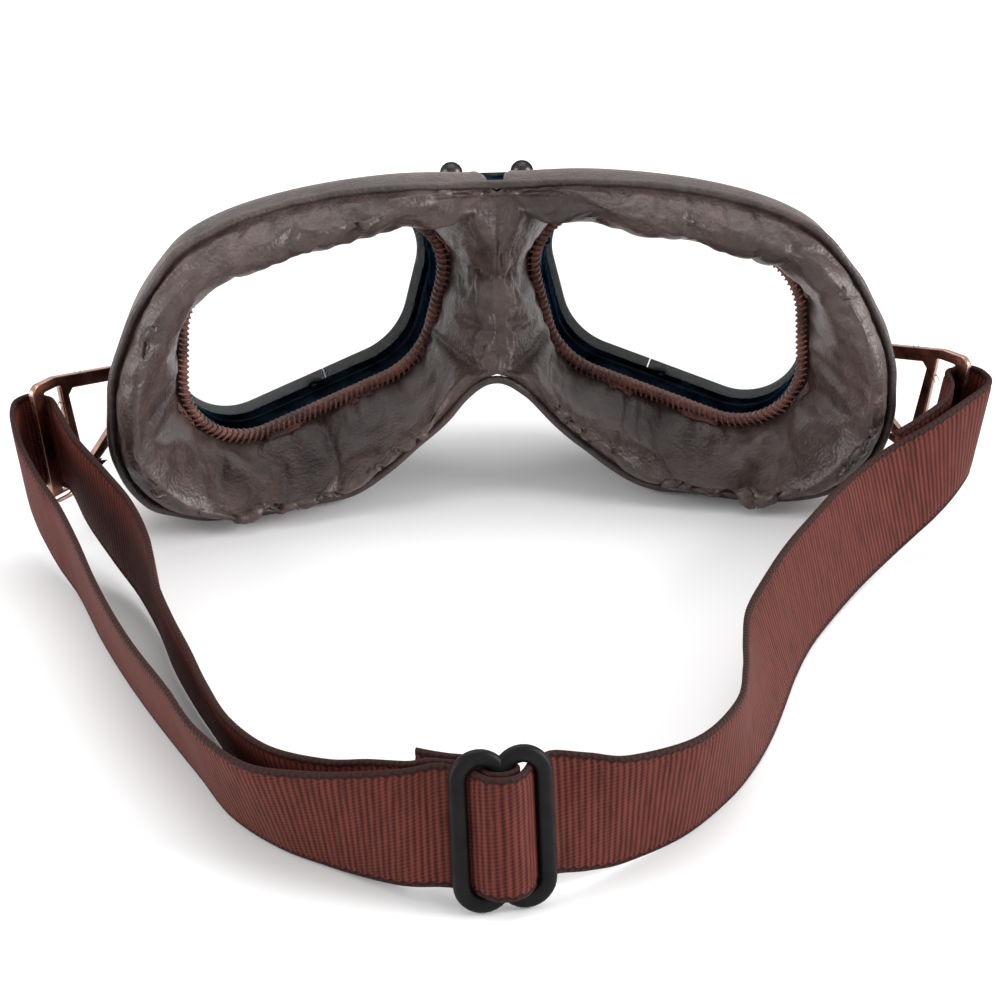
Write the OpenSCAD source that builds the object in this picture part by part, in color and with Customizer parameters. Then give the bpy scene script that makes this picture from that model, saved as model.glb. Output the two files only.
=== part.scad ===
// Aviator style motorcycle goggles: two metal eye frames hinged at a bridge, set in a
// padded leather mask, and an elastic strap with a slider between two hinged brackets.
// The lenses face -Y, the strap runs out to +Y, +X is the wearer's left and +Z is up.

/* [Mask] */
// Half the width of the mask at the temples
mask_half_w = 88.5; // [86:0.5:92]
// Height of the mask from the cheeks to the brow
mask_h = 77.5; // [76:0.5:82]
// How fast the temples curve back, in millimetres per square millimetre
wrap_rate = 0.0027; // [0.002:0.0001:0.0032]
// How far the face roll stands back from the piping
roll_crown = 7; // [4:0.5:9]
// Thickness of the leather
leather_t = 1.3; // [1.0:0.1:1.6]
// Diameter of the welt piping
piping_d = 2.8; // [2.2:0.1:3.2]

/* [Eye frames] */
// Distance of each lens centre from the middle
eye_x = 41.5; // [40:0.5:43]
// Height of the lens centre
eye_z = 36.5; // [35:0.5:38]
// Place of the opening plane in front of the piping
eye_y = -18; // [-20:0.5:-16]
// Angle by which each lens turns outwards
lens_wrap = 15; // [12:0.5:18]
// Depth of the metal eye ring
ring_depth = 9; // [8:0.5:10]
// Thickness of the ring wall
ring_t = 1.2; // [1.0:0.1:1.4]
// Width of the flange that the leather is laced to
flange_w = 5.5; // [5:0.1:6]

/* [Hinges] */
// Distance of each bridge pin from the middle
bridge_pin_x = 8.2; // [8:0.1:8.8]
// Place of the bridge pins in front of the piping
bridge_pin_y = -31; // [-32:0.5:-30]
// Diameter of the bridge pins
bridge_pin_d = 2.6; // [2.2:0.1:2.8]
// Diameter of the bracket pins
bracket_pin_d = 2.0; // [1.8:0.1:2.2]
// Gap round a pin in its bore
pin_gap = 0.05; // [0.03:0.01:0.08]

/* [Strap brackets] */
// Thickness of the stamped bracket
bracket_t = 1.5; // [1.2:0.1:1.8]
// Angle of the bracket plane to the X axis
bracket_turn = 51; // [49:1:53]

/* [Strap] */
// Width of the elastic webbing
strap_w = 24.5; // [24:0.5:26]
// Thickness of the elastic webbing
strap_t = 1.5; // [1.2:0.1:1.6]
// Width of the slider along the strap
slider_w = 20; // [19:0.5:21]
// Height of the slider across the strap
slider_h = 32; // [31:0.5:33]
// Diameter of the slider's bars
slider_bar_d = 2.4; // [2.2:0.1:2.6]

/* [Hidden] */
$fn = 48;

// The whole model is moved so that its box stands centred on the origin.
place_y = -73.5;
place_z = 0.2;
module place() {
    translate([0, place_y, place_z]) children();
}
module flip() {
    mirror([1, 0, 0]) children();
}

// ---- smooth curves through hand-set points ----
function spline(a, b, c, d, t) =
    0.5 * (2 * b + (c - a) * t + (2 * a - 5 * b + 4 * c - d) * t * t
        + (3 * b - a - 3 * c + d) * t * t * t);
function closed_curve(p, steps) = let (n = len(p))
    [for (i = [0:n - 1]) for (k = [0:steps - 1])
        spline(p[(i + n - 1) % n], p[i], p[(i + 1) % n], p[(i + 2) % n], k / steps)];
function open_curve(p, steps) = let (n = len(p))
    [for (i = [0:n - 2]) for (k = [0:(i == n - 2 ? steps : steps - 1)])
        spline(p[max(i - 1, 0)], p[i], p[i + 1], p[min(i + 2, n - 1)], k / steps)];

// ---- outline of the mask, as shares of its half width and height ----
half_outline = [[0, 1], [0.36, 1.003], [0.62, 0.968], [0.79, 0.9], [0.88, 0.8],
    [0.95, 0.67], [1, 0.48], [0.99, 0.25], [0.9, 0.085], [0.74, 0.008], [0.52, 0.004],
    [0.35, 0.035], [0.18, 0.18], [0.07, 0.31], [0, 0.355]];
outline_steps = 5;
half_n = (len(half_outline) - 1) * outline_steps;
outline = closed_curve(concat(
    [for (p = half_outline) [p.x * mask_half_w, p.y * mask_h]],
    [for (i = [len(half_outline) - 2:-1:1])
        [-half_outline[i].x * mask_half_w, half_outline[i].y * mask_h]]), outline_steps);
function inset(p, d) = let (n = len(p))
    [for (i = [0:n - 1])
        let (e = p[(i + 1) % n] - p[(i + n - 1) % n], u = e / norm(e))
        p[i] + d * [u.y, -u.x]];
welt_inset = piping_d / 2;
leather_inset = piping_d + 0.15;
trim_line = inset(outline, leather_inset);
welt_line = inset(outline, welt_inset);

// ---- outline of an eye opening: a band drawn tight round four circles ----
eye_circles = [[16, -9.5, 14.5], [14, 2, 16], [-17, 10.5, 13.5], [-12, 1, 16]];
rim_n = 72;
function eye_support(a) = max([for (c = eye_circles) c.x * cos(a) + c.y * sin(a) + c.z]);
function eye_point(a, d) =
    let (h = [for (c = eye_circles) c.x * cos(a) + c.y * sin(a) + c.z], m = max(h),
        c = eye_circles[search(m, h)[0]])
    [c.x + (c.z + d) * cos(a), c.y + (c.z + d) * sin(a)];
function eye_outline(d) = [for (i = [0:rim_n - 1]) eye_point(360 * i / rim_n, d)];
// Distance from the lens centre to the outline in the mask's own X-Z view.
function eye_reach(a, d) =
    let (m = [cos(a) / cos(lens_wrap), sin(a)], k = norm(m), f = atan2(m.y, m.x))
    min([for (t = [-80:5:80]) (eye_support(f + t) + d) / cos(t)]) / k;

module at_lens() {
    translate([eye_x, eye_y, eye_z]) rotate([0, 0, lens_wrap]) children();
}
// A ring or plate of the eye outline, from depth w0 to w1 in front of the opening.
module eye_plate(d, w0, w1) {
    rotate([90, 0, 0]) translate([0, 0, w0]) linear_extrude(w1 - w0)
        polygon(eye_outline(d));
}
module eye_ring(d_in, d_out, w0, w1) {
    rotate([90, 0, 0]) translate([0, 0, w0]) linear_extrude(w1 - w0) difference() {
        polygon(eye_outline(d_out));
        polygon(eye_outline(d_in));
    }
}

// ---- metal eye frame: ring, flange and hinge knuckles ----
knuckle_z = [50, 62];
knuckle_r = 2.6;
bracket_pin = [77.7, -12];
bracket_z = 28;
bracket_knuckle_r = 2.2;
lug_step = 0.4;
bar_top = [62.3, 66.8];
bar_low = [45.4, 49.7];
bar_r = 2.9;
bar_room = 0.6;
bracket_knuckles = [[-10, -4.7], [4.7, 10]];
module upright(x, y, z0, z1, r) {
    translate([x, y, z0]) cylinder(h = z1 - z0, r = r);
}
module eye_frame() {
    color("#3b3a3c") difference() {
        union() {
            at_lens() eye_ring(0, ring_t, 0, ring_depth);
            at_lens() eye_ring(0, flange_w, 0, 1);
            upright(bridge_pin_x, bridge_pin_y, knuckle_z[0], knuckle_z[1], knuckle_r);
            at_lens() difference() {
                translate([-34.4, -5, knuckle_z[0] + lug_step - eye_z])
                    cube([10, 2.2, knuckle_z[1] - knuckle_z[0] - 2 * lug_step]);
                eye_plate(ring_t / 2, 0, ring_depth);
            }
            for (k = bracket_knuckles)
                upright(bracket_pin.x, bracket_pin.y, bracket_z + k[0], bracket_z + k[1],
                    bracket_knuckle_r);
            at_lens() difference() {
                for (k = bracket_knuckles)
                    translate([22, -4.5, bracket_z - eye_z + k[0] + lug_step])
                        cube([13.2, 2, k[1] - k[0] - 2 * lug_step]);
                eye_plate(ring_t / 2, 0, ring_depth);
            }
        }
        upright(bridge_pin_x, bridge_pin_y, knuckle_z[0] - 1, knuckle_z[1] + 1,
            bridge_pin_d / 2 + pin_gap);
        // Room for the two leaves of the bridge bar to swing past the flange.
        for (z = [bar_low, bar_top]) {
            translate([0, bridge_pin_y - bar_r - 1, z[0] - bar_room])
                cube([bridge_pin_x, 2 * bar_r + 1 + bar_room, z[1] - z[0] + 2 * bar_room]);
            upright(bridge_pin_x, bridge_pin_y, z[0] - bar_room, z[1] + bar_room,
                bar_r + bar_room);
        }
        upright(bracket_pin.x, bracket_pin.y, bracket_z - 11, bracket_z + 11,
            bracket_pin_d / 2 + pin_gap);
    }
}

// ---- split front rim, its screw and the lens ----
rim_w = [6.2, 13];
rim_out = 2.8;
lens_w = [9.3, 11.3];
lug_u = -6;
lug_v = [-26, -19];
screw_v = -23.4;
screw_w = 9.5;
module front_rim() {
    color("#4a4644") at_lens() difference() {
        union() {
            eye_ring(-1.6, rim_out, rim_w[0], rim_w[1]);
            translate([lug_u - 4.2, -12, lug_v[0]]) cube([8.4, 5, lug_v[1] - lug_v[0]]);
        }
        eye_plate(1.35, rim_w[0] - 1, lens_w[1] + 0.2);
        translate([lug_u - 0.6, -20, lug_v[0] - 1]) cube([1.2, 20, 12]);
        translate([lug_u - 10, -screw_w, screw_v]) rotate([0, 90, 0])
            cylinder(h = 20, d = 2 + 2 * pin_gap);
    }
}
module lens() {
    color([0.85, 0.9, 0.92, 0.35]) at_lens() eye_plate(1.0, lens_w[0], lens_w[1]);
}
module rim_screw() {
    color("#8b8883") at_lens() translate([lug_u, -screw_w, screw_v]) rotate([0, 90, 0])
        difference() {
            union() {
                translate([0, 0, -5.2]) cylinder(h = 10.4, d = 2);
                translate([0, 0, 4.3]) cylinder(h = 1.5, d = 3.4);
                translate([0, 0, -5.9]) cylinder(h = 1.6, d = 3.6, $fn = 6);
            }
            translate([-3, -0.3, 5.2]) cube([6, 0.6, 2]);
        }
}

// ---- bridge between the two frames ----
module bridge_leaf(z) {
    for (s = [-1, 1])
        upright(s * bridge_pin_x, bridge_pin_y, z[0], z[1], bar_r);
    translate([-bridge_pin_x, bridge_pin_y - bar_r, z[0]])
        cube([2 * bridge_pin_x, 2 * bar_r, z[1] - z[0]]);
}
module bridge_bar() {
    color("#54504d") difference() {
        union() {
            bridge_leaf(bar_top);
            bridge_leaf(bar_low);
            translate([-3.4, bridge_pin_y - 1.3, bar_low[0]])
                cube([6.8, 2.6, bar_top[1] - bar_low[0]]);
        }
        for (s = [-1, 1])
            upright(s * bridge_pin_x, bridge_pin_y, bar_low[0] - 1, bar_top[1] + 1,
                bridge_pin_d / 2 + pin_gap);
    }
}
module bridge_pin() {
    color("#6b6661") translate([bridge_pin_x, bridge_pin_y, 0]) union() {
        translate([0, 0, bar_low[0] - 1.2])
            cylinder(h = bar_top[1] - bar_low[0] + 1.4, d = bridge_pin_d);
        translate([0, 0, bar_low[0] - 1.6]) cylinder(h = 1.5, d = 4.6);
        translate([0, 0, bar_top[1] + 0.1]) rotate_extrude() intersection() {
            translate([0, -0.9]) circle(r = 4.4);
            square([2.7, 3.6]);
        }
    }
}

// ---- hinged strap brackets ----
bracket_outline = [[1, 4.3], [8, 5.4], [35.5, 11.5], [41.5, 11.5], [43, 10], [37.8, -17.5],
    [36, -19], [31, -19], [29.5, -18], [8, -5.4], [1, -4.3]];
strap_slot = [[33.8, 9], [39.4, 9], [34.5, -16.6], [28.9, -16.6]];
bracket_window = [[11, 2.8], [30.2, 7], [31, 6.2], [26.6, -12.4], [25.4, -12.8], [11, -3]];
module at_bracket() {
    translate([bracket_pin.x, bracket_pin.y, bracket_z]) rotate([0, 0, bracket_turn])
        children();
}
module strap_bracket() {
    color("#5b3d33") difference() {
        union() {
            at_bracket() translate([0, bracket_t / 2, 0]) rotate([90, 0, 0])
                linear_extrude(bracket_t) difference() {
                    polygon(bracket_outline);
                    polygon(strap_slot);
                    polygon(bracket_window);
                }
            upright(bracket_pin.x, bracket_pin.y, bracket_z - 4.4, bracket_z + 4.4,
                bracket_knuckle_r);
        }
        upright(bracket_pin.x, bracket_pin.y, bracket_z - 10, bracket_z + 10,
            bracket_pin_d / 2 + pin_gap);
    }
}
module bracket_pin_rod() {
    color("#8d8078") {
        upright(bracket_pin.x, bracket_pin.y, bracket_z - 10.6, bracket_z + 10.6,
            bracket_pin_d / 2);
        upright(bracket_pin.x, bracket_pin.y, bracket_z + 10.1, bracket_z + 11.3, 1.8);
        upright(bracket_pin.x, bracket_pin.y, bracket_z - 11.3, bracket_z - 10.1, 1.8);
    }
}

// ---- thread binding and lacing at each opening ----
binding_w = [-2.7, -0.3];
module eye_binding() {
    color("#6b4038") at_lens() eye_ring(-0.3, 1.9, binding_w[0], binding_w[1]);
}
lacing_angles = [20, 62, 104, 150, 196, 238, 285, 330];
module lacing_thread() {
    color("#7a4a3f") at_lens() for (a = lacing_angles) {
        p = eye_point(a, 0.8);
        translate([p.x, -binding_w[0] + 0.55, p.y]) rotate([0, -a, 0])
            for (s = [-1.6, 0, 1.6]) translate([0, 0, s])
                rotate([0, 90, 0]) cylinder(h = 2, d = 0.8, center = true);
    }
}

// ---- leather and foam, laid out on rays from each lens centre ----
centre = [eye_x, eye_z];
top_corner = atan2(trim_line[0].y - centre.y, -centre.x);
notch_corner = atan2(trim_line[half_n].y - centre.y, -centre.x) + 360;
wall_n = 9;
free_n = 36;
stations = concat(
    [for (i = [0:wall_n - 1]) top_corner + (notch_corner - top_corner) * i / wall_n],
    [for (i = [0:free_n - 1]) notch_corner + (top_corner + 360 - notch_corner) * i / free_n]);
station_n = len(stations);
function is_wall(i) = i <= wall_n;
function cross_at(c, n, p, q) =
    let (e = q - p, den = n.x * e.y - n.y * e.x, w = p - c)
    abs(den) < 0.000001 ? 10000 :
    let (r = (w.x * e.y - w.y * e.x) / den, s = (w.x * n.y - w.y * n.x) / den)
    (r > 0 && s >= 0 && s <= 1) ? r : 10000;
function free_reach(a) = let (n = [cos(a), sin(a)])
    min([for (i = [0:half_n - 1]) cross_at(centre, n, trim_line[i], trim_line[i + 1])]);
seam_lap = 0.05;
function outer_reach(i) = is_wall(i) ? (centre.x + seam_lap) / -cos(stations[i])
    : free_reach(stations[i]);
function turn_from_wall(i) = is_wall(i) ? 0
    : min(stations[i] - notch_corner, top_corner + 360 - stations[i]);
function roll_share(i) = let (t = min(turn_from_wall(i) / 30, 1)) t * t * (3 - 2 * t);
function face_y(x) = wrap_rate * x * x;
function plane_y(x) = eye_y + tan(lens_wrap) * (x - eye_x);
function wall_share(z) = let (t = (z - trim_line[half_n].y) / (trim_line[0].y - trim_line[half_n].y))
    sin(180 * max(0, min(1, t)));
nose_sink = 6;
front_sink = 19;
section_n = 7;
opening_gap = 2.5;
// Back surface of the roll at share q along ray i, as [distance, depth].
function roll_point(i, q) =
    let (a = stations[i], r0 = eye_reach(a, opening_gap), r1 = outer_reach(i),
        z1 = centre.y + r1 * sin(a), x1 = max(0, centre.x + r1 * cos(a)),
        y0 = plane_y(centre.x + r0 * cos(a)) + 0.7,
        y1 = face_y(x1) + 0.7 - (is_wall(i) ? nose_sink * wall_share(z1) : 0),
        k = roll_share(i), rise = (1 - k) * sin(90 * q) + k * (1 - pow(1 - q, 2.2)))
    [r0 + (r1 - r0) * q, y0 + (y1 - y0) * rise + k * roll_crown * sin(180 * pow(q, 0.8))];
function roll_inner(i, q, t) =
    let (e = 0.01, p = roll_point(i, max(0, q - e)), s = roll_point(i, min(1, q + e)),
        d = (s - p) / norm(s - p), n = (is_wall(i) && q > 0.999) ? [0, -1] : [d.y, -d.x])
    roll_point(i, q) + t * n;
// Skirt surface at share q from the flange to the piping.
skirt_gap = 0.4;
function skirt_point(i, q, t) =
    let (a = stations[i], r0 = eye_reach(a, flange_w + skirt_gap), r1 = outer_reach(i),
        z1 = centre.y + r1 * sin(a), x1 = max(0, centre.x + r1 * cos(a)),
        y0 = plane_y(centre.x + r0 * cos(a)) - 0.4,
        y1 = face_y(x1) - 1.4 - (is_wall(i) ? front_sink * pow(wall_share(z1), 0.4) : 0),
        e = [r1 - r0, y1 - y0], n = [e.y, -e.x] / norm(e),
        inward = ((is_wall(i) && q > 0.999) || q < 0.001) ? [0, 1] : -n)
    [r0, y0] + e * q + n * (1.8 * sin(180 * q) * (is_wall(i) ? 0 : 1)) + inward * t;
function on_ray(i, p) = [centre.x + p.x * cos(stations[i]), p.y, centre.y + p.x * sin(stations[i])];
// A closed solid from one ring of points a station.
module ring_solid(rings) {
    n = len(rings);
    m = len(rings[0]);
    polyhedron(points = [for (r = rings) for (p = r) p],
        faces = [for (i = [0:n - 1]) for (k = [0:m - 1]) for (h = [0, 1])
            let (j = (i + 1) % n, l = (k + 1) % m)
            h == 0 ? [i * m + k, j * m + l, j * m + k] : [i * m + k, i * m + l, j * m + l]],
        convexity = 8);
}
module both_halves() {
    union() {
        children();
        flip() children();
    }
}
module face_pad_cover() {
    color("#4f4341") both_halves() ring_solid([for (i = [0:station_n - 1]) concat(
        [for (k = [0:section_n]) on_ray(i, roll_point(i, k / section_n))],
        [for (k = [section_n:-1:0]) on_ray(i, roll_inner(i, k / section_n, leather_t))])]);
}
foam_gap = 0.15;
foam_in = leather_t + foam_gap;
foam_front = leather_t + 0.9;
function foam_meets_middle(i) = i > 1 && i < wall_n - 1;
function foam_reach(i) = 0.42 + 0.18 * roll_share(i);
module foam_core() {
    color("#d8c8a0") both_halves() ring_solid([for (i = [0:station_n - 1])
        let (full = foam_meets_middle(i))
        [on_ray(i, roll_inner(i, 0.2, foam_in)), on_ray(i, roll_inner(i, 0.38, foam_in)),
            on_ray(i, roll_inner(i, full ? 1 : foam_reach(i), foam_in)),
            on_ray(i, skirt_point(i, full ? 1 : foam_reach(i), foam_front)),
            on_ray(i, skirt_point(i, full ? 0.75 : foam_reach(i) - 0.1, foam_front)),
            on_ray(i, skirt_point(i, 0.35, foam_front))]]);
}
module leather_skirt() {
    color("#463a38") both_halves() ring_solid([for (i = [0:station_n - 1]) concat(
        [for (k = [4:-1:0]) on_ray(i, skirt_point(i, k / 4, 0))],
        [for (k = [0:4]) on_ray(i, skirt_point(i, k / 4, leather_t))])]);
}
piping_sides = 8;
module welt_piping() {
    n = len(welt_line) / 2;
    line = [for (i = [0:n - 1]) welt_line[i * 2]];
    color("#3c302e") ring_solid([for (i = [0:n - 1])
        let (p = line[i], e = line[(i + 1) % n] - line[(i + n - 1) % n],
            out = [-e.y, e.x] / norm(e))
        [for (k = [0:piping_sides - 1])
            let (a = -360 * k / piping_sides, r = piping_d / 2 - 0.1)
            [p.x + r * cos(a) * out.x, face_y(p.x) + r * sin(a), p.y + r * cos(a) * out.y]]]);
}

// ---- elastic strap: one webbing swept through hand-set stations ----
// Each station is the lower edge [x, y, z] and how far the upper edge leans [dx, dy].
slider_at = [12.6, 184];
slider_turn = 9;
slider_lean = 10.5;
slider_low = 0.1;
strap_in_slider_z = 3.75;
// A station beside the slider: t along the strap, n outwards from the centre bar.
function by_slider(t, n) =
    let (out = n - strap_in_slider_z * tan(slider_lean), lean = strap_w * sin(slider_lean))
    [slider_at.x + t * cos(slider_turn) - out * sin(slider_turn),
        slider_at.y + t * sin(slider_turn) + out * cos(slider_turn),
        strap_in_slider_z, lean * sin(slider_turn), -lean * cos(slider_turn)];
right_tail = [[-90.4, 34, 4.3, 4.4, 0.6], [-94.6, 29.6, 6.2, 3.2, 2.6],
    [-97.2, 24.8, 8.6, -0.4, 3.6], [-97.8, 20, 10.6, -2.6, 4]];
// Once round the outer bar of the left bracket, from the outside to the inside.
bracket_loop = [[105.8, 19.3, 10.4], [105.2, 15.2, 11.6], [102.4, 12.6, 11.9],
    [100.2, 12.8, 11.9], [98.7, 14, 11.9], [97.2, 15.4, 11.8]];
loop_lean = [3.1, 3.7];
left_loop = [for (p = bracket_loop) [p.x, p.y, p.z, loop_lean.x, loop_lean.y]];
right_loop = [for (i = [len(bracket_loop) - 1:-1:0])
    let (p = bracket_loop[i]) [-p.x, p.y, p.z, -loop_lean.x, loop_lean.y]];
right_run = [[-101.6, 26, 8, 0.6, 3.6], [-96.2, 31.5, 5.2, 3, 2.6],
    [-90.2, 37, 2.8, 4.6, 0.4], [-84, 43.6, 1, 5.4, -1.2], [-75.2, 56, 0.2, 5, -2.6],
    [-67, 70, 0.1, 4.8, -2.6], [-60.2, 83, 0.1, 5, -2.8], [-55, 96, 0.1, 6, -2.6],
    [-50.4, 110, 0.1, 7.6, -1.6], [-46.2, 122, 0.1, 6, 0.4], [-41, 134, 0.1, 2.6, 2],
    [-34.2, 146, 0.1, -1, 3.6], [-23.4, 159.6, 0.1, -2.4, 4], [-11, 169.8, 0.8, -0.8, 2],
    [-3.6, 175, 2.4, 0, -2]];
slider_pass = [for (p = [[-11.4, -3.8], [-8.7, -3], [-6.5, -1.7], [-5, 0.8], [-2.9, 3.3],
    [0, 4.2], [2.8, 3.4], [4.9, 0.8], [6.5, -1.7], [8.7, -3], [11.6, -4.2]])
    by_slider(p.x, p.y)];
left_run = [[31, 177.6, 2.2, 0.4, -1.4], [38, 171.8, 1, 2, 2.4], [45, 165.6, 0.3, 4, 5.4],
    [54, 157.6, 0.1, 6.6, 7], [62.6, 145.6, 0.1, 7.4, 4.6], [68.4, 130, 0.1, 7.6, 2.6],
    [74.4, 114, 0.1, 7.6, 2], [79.6, 99.5, 0.1, 7, 1.6], [84.8, 83.5, 0.1, 6, 1.2],
    [89.6, 67, 0.2, 4.8, 1], [94.2, 49, 0.8, 4.6, 1.6], [99, 37.5, 2.8, 4.2, 2.4],
    [102.8, 28.5, 6, 3.8, 3.4], [104.6, 24, 8.4, 3.4, 4]];
return_run = [[95.7, 18.8, 11, 3.2, 4], [92.6, 27, 7.8, 2.6, 4], [87, 38, 3.8, 1.6, 3],
    [81.6, 49.4, 1, 1.4, 2.4], [77, 66, 0.1, 2.4, 2], [73.6, 84, 0.1, 4.4, 2],
    [69.2, 101, 0.1, 5.6, 2], [64.6, 116, 0.1, 6.6, 2], [60.6, 130, 0.1, 7.4, 2.4],
    [56.2, 143, 0.1, 7.4, 4], [49.6, 153, 0.1, 6.4, 6], [41.4, 161.8, 0.4, 4, 5],
    [35.6, 168, 1.2, 2, 2], [29.8, 175.4, 2.4, 0.6, -1.8]];
slider_end = [for (p = [[12, -6.3], [8.7, -4.95], [6.6, -4], [4.4, -2.3], [3.6, -0.6],
    [2.5, 1.3], [0, 2.2], [-2.3, 1.4], [-3.2, 0], [-2.3, -1.4], [0, -2.25], [2.2, -3.4],
    [5, -5.8], [8, -7.2], [11, -9], [13.5, -10.8]]) by_slider(p.x, p.y)];
strap_route = concat(right_tail, right_loop, right_run, slider_pass, left_run, left_loop,
    return_run, slider_end);
strap_steps = 2;
strap_line = open_curve(strap_route, strap_steps);
function strap_up(s) = [s[3], s[4], sqrt(strap_w * strap_w - s[3] * s[3] - s[4] * s[4])];
function strap_ring(i) =
    let (s = strap_line[i], p = strap_line[max(i - 1, 0)],
        q = strap_line[min(i + 1, len(strap_line) - 1)], up = strap_up(s),
        run = [q[0] - p[0], q[1] - p[1], q[2] - p[2]],
        side = cross(run, up), n = side / norm(side) * strap_t / 2, b = [s[0], s[1], s[2]])
    [b + n, b + up + n, b + up - n, b - n];
module elastic_strap() {
    rings = [for (i = [0:len(strap_line) - 1]) strap_ring(i)];
    n = len(rings);
    color("#63342e") polyhedron(points = [for (r = rings) for (p = r) p],
        faces = concat([[0, 3, 2], [0, 2, 1]],
            [let (e = 4 * (n - 1)) [e, e + 1, e + 2], let (e = 4 * (n - 1)) [e, e + 2, e + 3]],
            [for (i = [0:n - 2]) for (k = [0:3]) for (h = [0, 1])
                let (l = (k + 1) % 4, a = 4 * i, b = 4 * i + 4)
                h == 0 ? [a + k, a + l, b + l] : [a + k, b + l, b + k]]),
        convexity = 10);
}

// ---- slider, drawn flat and stood on the strap ----
module on_slider() {
    translate([slider_at.x, slider_at.y, slider_low]) rotate([0, 0, slider_turn])
        rotate([slider_lean, 0, 0]) children();
}
module bend(x, z, r, a0, turn_by) {
    translate([x, 0, z]) rotate([90, 0, 0]) rotate([0, 0, a0])
        rotate_extrude(angle = turn_by) translate([r, 0]) circle(d = slider_bar_d);
}
module strap_slider() {
    hx = slider_w / 2 - slider_bar_d / 2;
    lo = slider_bar_d / 2;
    hi = slider_h - slider_bar_d / 2;
    r = hx / 2;
    color("#262628") on_slider() union() {
        for (s = [-1, 1]) {
            translate([s * hx, 0, lo + r]) cylinder(h = hi - lo - 2 * r, d = slider_bar_d);
            bend(s * r, hi - r, r, 0, 180);
            bend(s * r, lo + r, r, 180, 180);
        }
        translate([0, 0, lo + r]) cylinder(h = hi - lo - 2 * r, d = slider_bar_d - 0.6);
        for (z = [lo + r, hi - r]) translate([0, 0, z]) sphere(d = slider_bar_d);
    }
}

// ---- sewn ends of the strap ----
stitch_d = 0.6;
module stitch_row(p, up, n) {
    for (k = [0:n - 1]) translate(p + up * (k + 0.5) / n)
        rotate([0, atan2(norm([up.x, up.y]), up.z), atan2(up.y, up.x)])
            cylinder(h = norm(up) / n * 0.6, d = stitch_d, center = true, $fn = 16);
}
module strap_end_stitching() {
    color("#4a211d") stitch_row([-94.2, 34.5, 5], [3.6, 2, 22], 9);
}
tab_seam = by_slider(11, -9.7);
module slider_end_stitching() {
    color("#4a211d")
        stitch_row([tab_seam.x, tab_seam.y, tab_seam.z + 1.5], [0.7, -4.2, 21.8], 8);
}

place() bridge_bar();
place() bridge_pin();  // left_bridge_pin
place() flip() bridge_pin();  // right_bridge_pin
place() eye_frame();  // left_eye_frame
place() flip() eye_frame();  // right_eye_frame
place() front_rim();  // left_front_rim
place() flip() front_rim();  // right_front_rim
place() lens();  // left_lens
place() flip() lens();  // right_lens
place() rim_screw();  // left_rim_screw
place() flip() rim_screw();  // right_rim_screw
place() bracket_pin_rod();  // left_bracket_pin
place() flip() bracket_pin_rod();  // right_bracket_pin
place() strap_bracket();  // left_strap_bracket
place() flip() strap_bracket();  // right_strap_bracket
place() eye_binding();  // left_eye_binding
place() flip() eye_binding();  // right_eye_binding
place() lacing_thread();  // left_lacing_thread
place() flip() lacing_thread();  // right_lacing_thread
place() face_pad_cover();
place() foam_core();
place() leather_skirt();
place() welt_piping();
place() elastic_strap();
place() strap_slider();
place() strap_end_stitching();
place() slider_end_stitching();
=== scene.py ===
import math

import bmesh
import bpy
from mathutils import Matrix, Vector, noise
from mathutils.bvhtree import BVHTree


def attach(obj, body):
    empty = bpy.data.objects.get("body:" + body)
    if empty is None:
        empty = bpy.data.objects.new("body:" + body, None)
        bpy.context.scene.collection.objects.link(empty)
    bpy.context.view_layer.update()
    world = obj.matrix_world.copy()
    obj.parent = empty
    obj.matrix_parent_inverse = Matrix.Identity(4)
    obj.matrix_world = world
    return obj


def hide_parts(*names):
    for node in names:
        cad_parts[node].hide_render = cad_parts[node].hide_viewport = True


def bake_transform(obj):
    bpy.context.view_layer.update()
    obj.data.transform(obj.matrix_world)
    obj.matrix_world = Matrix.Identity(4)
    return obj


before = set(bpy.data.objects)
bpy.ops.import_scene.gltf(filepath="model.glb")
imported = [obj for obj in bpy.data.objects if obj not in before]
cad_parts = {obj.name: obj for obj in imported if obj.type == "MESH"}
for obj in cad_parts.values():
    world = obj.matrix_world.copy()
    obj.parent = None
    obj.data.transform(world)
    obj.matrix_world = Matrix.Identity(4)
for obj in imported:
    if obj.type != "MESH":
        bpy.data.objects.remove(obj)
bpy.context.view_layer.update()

# ---- Leather face roll ----
# The soft roll that rests on the face: dark brown sheepskin over foam, sewn into the welt round
# the outside and gathered round both eye openings, so it puckers towards its two seams.
# It is laid out in millimetres round each lens, like its pattern, and blown up as cloth.
MM = 0.001
PLACE = Vector((0, -73.5, 0.2))
HALF_WIDTH, HEIGHT = 88.5, 77.5
WRAP = 0.0027
CROWN = 8.0
LEATHER_T = 1.1
LENS = Vector((41.5, -18.0, 36.5))
LENS_TURN = math.radians(15)
EYE_CIRCLES = [(16, -9.5, 14.5), (14, 2, 16), (-17, 10.5, 13.5), (-12, 1, 16)]
OUTLINE = [(0, 1), (0.36, 1.003), (0.62, 0.968), (0.79, 0.9), (0.88, 0.8), (0.95, 0.67),
           (1, 0.48), (0.99, 0.25), (0.9, 0.085), (0.74, 0.008), (0.52, 0.004), (0.35, 0.035),
           (0.18, 0.18), (0.07, 0.31), (0, 0.355)]
PIPING_D = 2.8
SIDES = {"left": 1, "right": -1}


def placed(p, side=1):
    """A point of the mask in millimetres, put in its place in metres."""
    return (Vector((side * p[0], p[1], p[2])) + PLACE) * MM


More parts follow.
